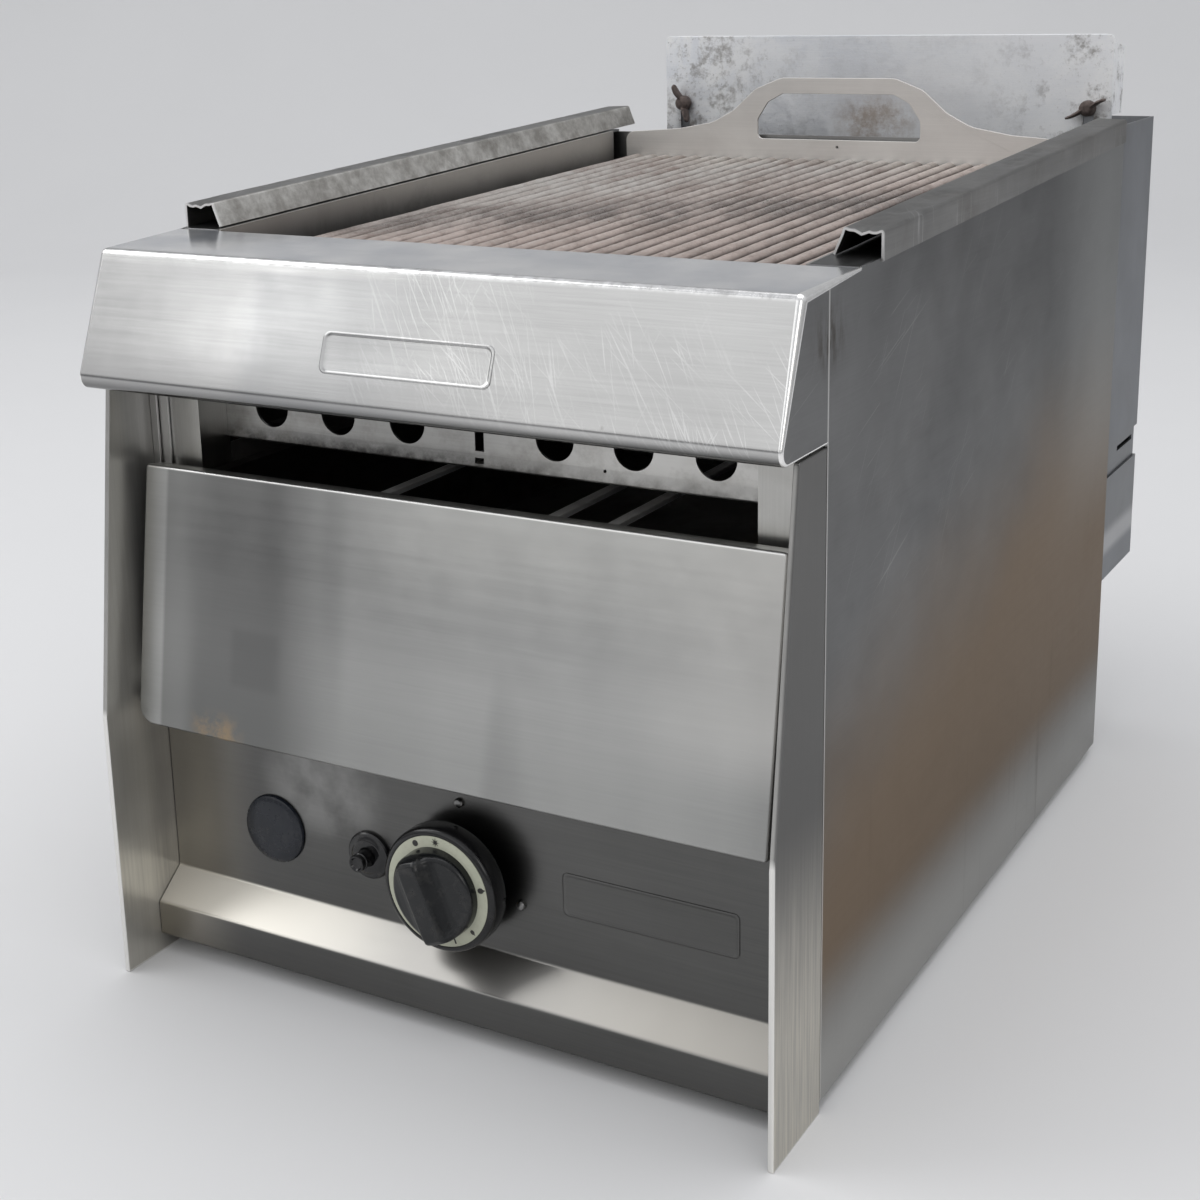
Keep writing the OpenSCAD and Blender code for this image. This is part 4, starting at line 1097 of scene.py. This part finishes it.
def fill_loops(name, loops, put, thick):
    """A flat plate from an outer loop and holes; put(p, w) places it and w runs over its thickness."""
    bm = bmesh.new()
    edges = []
    for lp in loops:
        vs = [bm.verts.new(tuple(MM * c for c in put(p, 0.0))) for p in lp]
        for a, b in zip(vs, vs[1:] + vs[:1]):
            edges.append(bm.edges.new((a, b)))
    bmesh.ops.triangle_fill(bm, use_beauty=True, use_dissolve=False, edges=edges)
    bmesh.ops.dissolve_limit(bm, angle_limit=math.radians(1), verts=bm.verts, edges=bm.edges, delimit={"NORMAL"})
    ext = bmesh.ops.extrude_face_region(bm, geom=list(bm.faces))
    d = Vector(put((0, 0), thick)) - Vector(put((0, 0), 0.0))
    for g in ext["geom"]:
        if isinstance(g, bmesh.types.BMVert):
            g.co += d * MM
    bmesh.ops.recalc_face_normals(bm, faces=bm.faces)
    me = bpy.data.meshes.new(name)
    bm.to_mesh(me)
    bm.free()
    o = bpy.data.objects.new(name, me)
    bpy.context.scene.collection.objects.link(o)
    return o


def handle():
    h = [[(42, 54.8), 18], [(62, 47), 18], [(79, 32), 14], [(96, 23), 30], [(124, 18), 30], [(167, 15), 7], [(167, -12), 1]]
    full = [[(-p[0], p[1]), r] for p, r in h[::-1]] + h
    c = [[(60.5, 12.2), 4], [(60.5, 26), 5], [(52.5, 38), 8], [(41, 44), 6]]
    hole = [[(-p[0], p[1]), r] for p, r in c[::-1]] + c
    dot = [(1.0 * math.cos(a), 7.2 + 1.0 * math.sin(a)) for a in [2 * math.pi * i / 16 for i in range(16)]]
    o = fill_loops("handle_sheet", [ring(full, 14), ring(hole, 10), dot], lambda p, w: on_grate(p[0], 382 + w, p[1]), 2.0)
    finish_obj(o, M["handle"], "grate", ["handle_plate"], bevel=0.35, seg=2, angle=40, bevel_angle=60)


handle()

# ------------------------------------------------------------------ splash back
ZTOP, HW = 493.0, 172.0
Y0S = 300.5


def splash():
    w, zs = 3.7, 443.0
    ZB = 414.2
    lp = [(-HW, ZB)]
    for s in (-156,):
        lp += [(s - w, ZB), (s - w, zs)] + [(s + w * math.cos(a), zs + w * math.sin(a)) for a in [math.pi - math.pi * i / 12 for i in range(1, 12)]] + [(s + w, zs), (s + w, ZB)]
    for s in (156,):
        lp += [(s - w, ZB), (s - w, zs)] + [(s + w * math.cos(a), zs + w * math.sin(a)) for a in [math.pi - math.pi * i / 12 for i in range(1, 12)]] + [(s + w, zs), (s + w, ZB)]
    lp += [(HW, ZB)]
    top = ring([[(HW, 460), 0], [(HW, ZTOP), 4], [(-HW, ZTOP), 4], [(-HW, 460), 0]], 6)
    lp += top
    plate = fill_loops("splash_sheet", [lp], lambda p, q: (p[0], Y0S + q, p[1]), 1.45)
    fix(plate)
    finish_obj(plate, M["splash"], "splash", ["splash_back"], bevel=0.35, seg=2, bevel_angle=60)
    parts = []
    for s in (-1, 1):
        line = bent([[(s * HW, Y0S + 1.6), 0], [(s * HW, 327.8), 0]], 2)
        sec = [(s * HW, Y0S + 1.2), (s * HW, 327.9), (s * (HW - T), 327.9), (s * (HW - T), Y0S + 1.2)]
        lower = [(x, y, 438.5) for x, y in sec]
        upper = [(x, y, (ZTOP - 5 - 4 * (y - Y0S) / 27)) for x, y in sec]
        parts.append(loft([lower, upper], True, True))
    out = ring([[(Y0S + 1.2, ZTOP), 0], [(Y0S + 12, ZTOP), 0.6], [(Y0S + 12, ZTOP - T), 0.3], [(Y0S + 1.2, ZTOP - T), 0]], 3)
    parts.append(prism(out, -HW + 8, HW - 8, "x"))
    o = fix(join_parts("splash_flanges", parts))
    finish_obj(o, M["splash"], "splash", (), bevel=0.3, seg=2)


splash()


def wing(s, ang, body, nm):
    cx, cz = s * 156.0, 443.0
    a = math.radians(ang)

    def put(u, y, w):
        # u along the ears, w across them, turned about the screw's axis like the CAD
        return (cx + u * math.cos(a) + w * math.sin(a), y, cz - u * math.sin(a) + w * math.cos(a))

    parts = []
    prof = [(0.01, 309), (2.2, 309), (3.0, 308.2)]
    for k in range(14):  # thread
        y = 307.6 - k * 0.5
        prof += [(2.95, y), (2.72, y - 0.25)]
    prof += [(3.0, 300.3), (5.3, 300.2), (5.6, 299.8), (5.5, 296), (5.0, 293.4), (4.1, 291.9), (2.0, 291.5), (0.01, 291.5)]
    rings = []
    n = 28
    for r, y in prof:
        rings.append([put(r * math.cos(2 * math.pi * k / n), y, r * math.sin(2 * math.pi * k / n)) for k in range(n)])
    parts.append(loft(rings, True, False))
    for q in (-1, 1):
        rings = []
        for i in range(15):
            f = i / 14
            u = q * (2.5 + 12.7 * f)
            yc = 296.6 - 4.6 * f - 0.9 * math.sin(math.pi * f)
            half = (2.6 + 2.9 * math.sin(math.pi * min(1.0, 0.25 + 0.62 * f)) ** 1.2) * (1.0 if f < 0.86 else math.sqrt(max(0.02, 1 - ((f - 0.86) / 0.142) ** 2)))
            th = (1.75 - 0.75 * f) * (1.0 if f < 0.9 else 0.75)
            bend = q * 1.3 * math.sin(f * math.pi * 0.75) - q * 0.4
            row = []
            for k in range(16):
                t = 2 * math.pi * k / 16
                jit = 0.22 * noise.noise(Vector((u * 0.4, k * 0.8, s * 3 + q)))
                row.append(put(u, max(286.2, yc + (half + jit) * math.cos(t)), bend + (th + jit) * math.sin(t)))
            rings.append(row)
        parts.append(loft(rings, True, True))
    o = fix(join_parts("wing_" + nm, parts))
    finish_obj(o, M["rust"], body, ["wing_screw_" + nm], angle=60)


wing(-1, 70, "wing_left", "left")
wing(1, -24, "wing_right", "right")

# ------------------------------------------------------------------ knob
KZ = 85.5
TILT = math.radians(22)


def kput(a, b, y):
    """a across the grip, b along it (up), y depth; turned to its rest position."""
    return (a * math.cos(TILT) - b * math.sin(TILT), y, KZ + a * math.sin(TILT) + b * math.cos(TILT))


def knob():
    n = 120
    prof = [(4.02, -286), (14.2, -286), (15, -286.6), (15, -289.4), (15.6, -290), (32.6, -290), (33.9, -290.5), (34.5, -291.8), (34.5, -299.6)]
    for k in range(1, 9):
        t = math.pi / 2 * k / 8
        prof.append((34.5 - 3.4 * (1 - math.cos(t)), -299.6 - 3.4 * math.sin(t)))
    prof += [(30.9, -302.95), (30.7, -302.6), (22, -302.6)]
    rings = []
    for r, y in prof:
        rings.append([kput(r * math.sin(2 * math.pi * k / n), r * math.cos(2 * math.pi * k / n), y) for k in range(n)])
    # back to the bore
    rings.append([kput(4.02 * math.sin(2 * math.pi * k / n), 4.02 * math.cos(2 * math.pi * k / n), -302.6) for k in range(n)])
    rings.append(rings[0])
    vs, fs = loft(rings[:-1], True, False)
    m = len(rings) - 2
    for i in range(n):
        j = (i + 1) % n
        fs.append((m * n + i, m * n + j, j, i))
    o = fix(raw("knob_skirt", vs, fs))
    finish_obj(o, M["knob"], "knob", ["gas_knob"], angle=28)
    # cream scale ring, a thin disc with a soft edge
    rings = []
    for r, y in ((30.55, -302.55), (30.55, -302.85), (30.3, -303.02), (12, -303.02), (12, -302.55)):
        rings.append([kput(r * math.sin(2 * math.pi * k / n), r * math.cos(2 * math.pi * k / n), y) for k in range(n)])
    vs, fs = loft(rings, True, False)
    for i in range(n):
        j = (i + 1) % n
        fs.append((4 * n + i, 4 * n + j, j, i))
    o = fix(raw("knob_scale_ring", vs, fs))
    finish_obj(o, M["ring"], "knob", (), angle=40)

    # grip: a round base with a thick bar across it, its flanks scooped out towards the rim
    RB = 24.6

    def hgt(u, v):
        rr = math.hypot(u, v)
        au = abs(u)
        bar = np.interp(au, [0, 4.6, 5.6, 6.4, 7.4, 9.5, 12.5, 16.5, 20.5, 24.6], [17.9, 17.85, 17.5, 16.4, 14.2, 11.2, 9.0, 7.4, 6.4, 5.8])
        endf = np.interp(abs(v), [0, 17.5, 20.5, 22.6, 23.9, 24.6], [1, 0.99, 0.955, 0.87, 0.74, 0.60])
        if au < 9:
            bar = bar * endf
        else:
            bar = bar * (endf * 0.35 + 0.65)
        edge = np.interp(rr, [0, 22.4, 23.5, 24.2, 24.5, 24.6], [0, 0, 0.07, 0.22, 0.45, 1.0])
        return max(0.0, bar * (1 - edge))

    nr, na = 40, 144
    vs, fs = [], []
    for j in range(nr + 1):
        f = j / nr
        rr = RB * (1 - (1 - f) ** 1.6)
        for i in range(na):
            t = 2 * math.pi * i / na
            u, v = rr * math.sin(t), rr * math.cos(t)
            vs.append(kput(u, v, -303.0 - hgt(u, v)))
    k0 = len(vs)
    for i in range(na):
        t = 2 * math.pi * i / na
        vs.append(kput(RB * math.sin(t), RB * math.cos(t), -302.7))
    for j in range(nr):
        for i in range(na):
            q = (i + 1) % na
            fs.append((j * na + i, j * na + q, (j + 1) * na + q, (j + 1) * na + i))
    for i in range(na):
        q = (i + 1) % na
        fs.append((nr * na + i, nr * na + q, k0 + q, k0 + i))
    fs.append(tuple(range(k0, k0 + na)))
    o = fix(raw("knob_grip", vs, fs), merge=1e-6)
    finish_obj(o, M["grip"], "knob", (), angle=50)

    # marks on the ring: dot, star, large flame, small flame, tick
    def mark(name, loop, ang, r=27.5, sc=1.0):
        a = math.radians(ang)
        pts = []
        for px, py in loop:
            px, py = px * sc, py * sc
            # tangential px, radial py; turned with the scale, which stays level with the row frame
            u = (r + py) * math.sin(a) + px * math.cos(a)
            v = (r + py) * math.cos(a) - px * math.sin(a)
            pts.append((u, KZ + v))
        vs, fs = prism(pts, -303.02, -303.16, "y")
        o = fix(raw(name, vs, fs))
        finish_obj(o, M["ink"], "knob", (), angle=30)

    circle = [(1.7 * math.cos(2 * math.pi * i / 24), 1.7 * math.sin(2 * math.pi * i / 24)) for i in range(24)]
    star = [((2.3 if i % 2 == 0 else 0.8) * math.cos(2 * math.pi * i / 16), (2.3 if i % 2 == 0 else 0.8) * math.sin(2 * math.pi * i / 16)) for i in range(16)]
    half = [(0.0, 2.6), (0.45, 1.5), (1.2, 0.7), (1.35, -0.3), (1.0, -1.2), (0.4, -1.6)]
    flame = half + [(-x, y) for x, y in half[::-1][:-1]]
    mark("mark_dot", circle, -27, 27.6)
    mark("mark_star", star, 0, 27.6, 1.08)
    mark("mark_flame_large", flame, 76, 27.6, 1.15)
    mark("mark_flame_small", flame, 131, 27.6, 0.85)
    mark("mark_tick", [(-0.45, -1.5), (0.45, -1.5), (0.45, 1.5), (-0.45, 1.5)], 159)


knob()


def lathe_piece(name, profile, centre, mat, body, replaces, n=96, angle=28):
    rings = []
    for r, y in profile:
        rings.append([(centre[0] + r * math.cos(2 * math.pi * k / n), y, centre[1] + r * math.sin(2 * math.pi * k / n)) for k in range(n)])
    vs, fs = loft(rings, True, False)
    if profile[0][0] != profile[-1][0] or profile[0][1] != profile[-1][1]:
        for idx in (0, len(rings) - 1):
            if profile[idx][0] > 0.05:
                fs.append(tuple(range(idx * n, idx * n + n)))
    else:
        pass
    o = fix(raw(name, vs, fs), merge=2e-6)
    return finish_obj(o, mat, body, replaces, angle=angle)


# blanking plug: domed cap with a rolled edge and a hollow spigot
cap = [(0.02, -284.3), (4, -284.28), (8, -284.18), (12, -283.95), (16, -283.45), (18.4, -282.85), (19.4, -282.3), (19.9, -281.5), (20.0, -280.9), (19.8, -280.52),
       (17.2, -280.5), (17.2, -270.3), (16.9, -270), (15.3, -270), (15.0, -270.3), (15.0, -279.2), (0.02, -279.2)]
lathe_piece("plug_cap", cap, (-123, 85), M["plug"], "chassis", ["blanking_plug"])

# igniter: collar, body, nut and push button
col = [(4.9, -262), (4.9, -283.6), (5.6, -284.0), (8.6, -284.0), (9.6, -283.7), (10.4, -283.2), (12.6, -282.9), (13.3, -282.3), (13.6, -281.4), (13.5, -280.6),
       (10.6, -280.5), (10.6, -262.1), (4.9, -262)]
lathe_piece("igniter_collar", col, (-58.5, 83.5), M["igniter"], "chassis", ["piezo_igniter"])
hexn = [(-58.5 + 14.4 * math.cos(math.pi / 3 * k), 83.5 + 14.4 * math.sin(math.pi / 3 * k)) for k in range(6)]
inner = [(-58.5 + 10.62 * math.cos(2 * math.pi * k / 48), 83.5 + 10.62 * math.sin(2 * math.pi * k / 48)) for k in range(48)]
o = fill_loops("igniter_nut", [hexn, inner], lambda p, w: (p[0], -279 + w, p[1]), 6.0)
finish_obj(o, M["igniter"], "chassis", (), bevel=0.4)
rear = [(0.02, -261.9), (10.6, -261.9), (10.6, -244), (9.8, -242.2), (3.0, -242.0), (0.02, -242.0)]
lathe_piece("igniter_rear", rear, (-58.5, 83.5), M["igniter"], "chassis", ())
but = [(0.02, -270), (4.75, -270), (4.8, -270.4), (4.8, -290.2), (4.3, -290.6), (4.3, -291.4), (4.8, -291.8), (4.8, -293.4), (4.5, -293.9), (3.7, -294.0), (3.3, -293.5), (2.9, -293.0), (0.02, -292.9)]
lathe_piece("igniter_tip", but, (-58.5, 83.5), M["igniter"], "igniter_push", ["igniter_button"], n=64)

# panel pins: small domed studs
for nm, (x, z) in (("a", (0.8, 126.4)), ("b", (37.0, 76.5))):
    pin = [(0.02, -283.1), (1.2, -283.02), (2.0, -282.7), (2.5, -282.0), (2.6, -281.2), (2.6, -280.5), (0.02, -280.5)]
    lathe_piece("panel_pin_" + nm, pin, (x, z), M["pin"], "chassis", ["panel_pins"] if nm == "a" else (), n=40)

# ------------------------------------------------------------------ CAD nodes that stay, with better finishes
KEEP = {
    "bottom_pan": "frame", "rear_panel": "frame", "rear_top_strip": "frame", "jamb_left": "jamb", "jamb_right": "jamb",
    "liner_left": "soot", "liner_right": "soot", "firebox_rear": "soot", "bay_side_left": "soot", "bay_side_right": "soot", "bay_floor": "soot",
    "drawer_runners": "frame", "flue_upper": "flue", "flue_lower": "flue", "flue_joint_band": "flue", "flue_front_strip": "frame",
    "burner_left": "burner", "burner_right": "burner", "burner_supports": "burner", "radiant_left": "burner", "radiant_right": "burner",
    "gas_manifold": "brass", "gas_feed_pipe": "copper", "gas_inlet_pipe": "copper", "gas_inlet_fitting": "brass", "gas_injectors": "brass",
    "gas_valve_body": "brass", "pilot_burner": "copper", "thermocouple": "copper", "ignition_lead": "lead", "spark_electrode": "ceramic",
    "foot_nuts": "zinc", "water_tray": "tray", "tray_tie_bars": "bars", "thrust_collar": "zinc", "valve_stem": "brass",
    "foot_front_left": "zinc", "foot_front_right": "zinc", "foot_rear_left": "zinc", "foot_rear_right": "zinc",
}
BEVEL = {"jamb_left": 0.5, "jamb_right": 0.5, "flue_upper": 0.5, "flue_lower": 0.5, "flue_joint_band": 0.4, "rear_panel": 0.4, "rear_top_strip": 0.4,
         "bottom_pan": 0.4, "tray_tie_bars": 0.5, "water_tray": 0.35, "flue_front_strip": 0.4}
for nm, key in KEEP.items():
    o = N[nm]
    if o.material_slots:
        for sl in o.material_slots:
            sl.material = M[key]
    else:
        o.data.materials.append(M[key])
    if nm in BEVEL:
        b = o.modifiers.new("bevel", "BEVEL")
        b.width = BEVEL[nm] * MM
        b.segments = 2
        b.limit_method = "ANGLE"
        b.angle_limit = math.radians(50)
        b.harden_normals = True

# ------------------------------------------------------------------ stage, light, camera


def stage_floor():
    """Pale floor that runs up into a backdrop in one sweep."""
    prof = [(-6.0, 0.0)]
    prof += [(2.6 + 1.6 * math.sin(a), 1.6 - 1.6 * math.cos(a)) for a in [math.pi / 2 * i / 16 for i in range(17)]]
    prof.append((4.2, 4.5))
    vs, fs = [], []
    for y, z in prof:
        vs += [(-6.0, y, z), (6.0, y, z)]
    for i in range(len(prof) - 1):
        fs.append((2 * i, 2 * i + 1, 2 * i + 3, 2 * i + 2))
    o = raw("stage_sweep", vs, fs, 1.0)
    # turned so that the sweep stands square behind the object as the camera sees it
    o.rotation_euler = (0, 0, math.radians(30.4))
    m = Mat("pale_floor")
    a = m.noise(3, 4, 0.5)
    m.set(m.mix(a, (0.76, 0.76, 0.76), (0.79, 0.79, 0.79)), 0.7, 0.0)
    o.data.materials.append(m.m)
    for p in o.data.polygons:
        p.use_smooth = True


stage_floor()


def area(name, loc, target, size, power, color=(1, 1, 1)):
    d = bpy.data.lights.new(name, "AREA")
    d.shape = "RECTANGLE"
    d.size, d.size_y = size
    d.energy = power
    d.color = color
    o = bpy.data.objects.new(name, d)
    bpy.context.scene.collection.objects.link(o)
    o.location = loc
    o.rotation_euler = (Vector(target) - Vector(loc)).to_track_quat("-Z", "Y").to_euler()
    o.visible_camera = False
    return o


CAM = Vector((0.51131, -1.03349, 0.54121))


def mirror_dir(p, n):
    v = (CAM - Vector(p)).normalized()
    n = Vector(n).normalized()
    return 2 * n.dot(v) * n - v


area("card_front_left", (-0.90, -2.25, 1.36), (0, -0.3, 0.36), (2.9, 1.5), 7.6)
area("top_left", (-2.75, -1.3, 2.7), (-0.2, -0.3, 0.2), (2.0, 2.4), 32)
area("top_soft", (0.5, 0.3, 2.8), (0.2, 0.1, 0.3), (2.4, 2.4), 20)
area("fill_right", (2.3, -2.0, 1.5), (-0.1, -0.2, 0.2), (1.2, 1.2), 6.5, (1.0, 0.97, 0.93))
# a small window-like source, seen in the left part of the hood's face
p = (-0.084, -0.313, 0.375)
d = mirror_dir(p, (0, -0.9385, 0.3453))
w = Vector(p) + d * 1.9
area("window", w, p, (0.15, 0.30), 0.26)

world = bpy.data.worlds.new("studio")
bpy.context.scene.world = world
world.use_nodes = True
wt = world.node_tree
wt.nodes.clear()
tc = wt.nodes.new("ShaderNodeTexCoord")
sep = wt.nodes.new("ShaderNodeSeparateXYZ")
cr = wt.nodes.new("ShaderNodeValToRGB")
bg = wt.nodes.new("ShaderNodeBackground")
wo = wt.nodes.new("ShaderNodeOutputWorld")
wt.links.new(tc.outputs["Generated"], sep.inputs[0])
wt.links.new(sep.outputs[2], cr.inputs[0])
wt.links.new(cr.outputs[0], bg.inputs[0])
wt.links.new(bg.outputs[0], wo.inputs[0])
els = cr.color_ramp.elements
els[0].position, els[0].color = 0.0, (0.36, 0.36, 0.37, 1)
els[1].position, els[1].color = 1.0, (0.95, 0.96, 1.0, 1)
e = els.new(0.12)
e.color = (0.46, 0.465, 0.475, 1)
e = els.new(0.45)
e.color = (0.70, 0.71, 0.73, 1)
bg.inputs[1].default_value = 0.82

sc = bpy.context.scene
sc.view_settings.view_transform = "Standard"

cam_data = bpy.data.cameras.new("camera")
cam = bpy.data.objects.new("camera", cam_data)
sc.collection.objects.link(cam)
az, el, roll = math.radians(30.359), math.radians(14.768), math.radians(-1.382)
back = Vector((math.sin(az) * math.cos(el), -math.cos(az) * math.cos(el), math.sin(el)))
fwd = -back
r = fwd.cross(Vector((0, 0, 1))).normalized()
u = r.cross(fwd)
r2 = math.cos(roll) * r + math.sin(roll) * u
u2 = -math.sin(roll) * r + math.cos(roll) * u
mat = Matrix((
    (r2.x, u2.x, back.x, CAM.x),
    (r2.y, u2.y, back.y, CAM.y),
    (r2.z, u2.z, back.z, CAM.z),
    (0, 0, 0, 1),
))
cam.matrix_world = mat
cam_data.sensor_width = 36
cam_data.lens = 1892.02 / 1200 * 36
cam_data.shift_x = (600 - 566.92) / 1200
cam_data.shift_y = (473.15 - 600) / 1200
cam_data.clip_start, cam_data.clip_end = 0.01, 50
sc.camera = cam
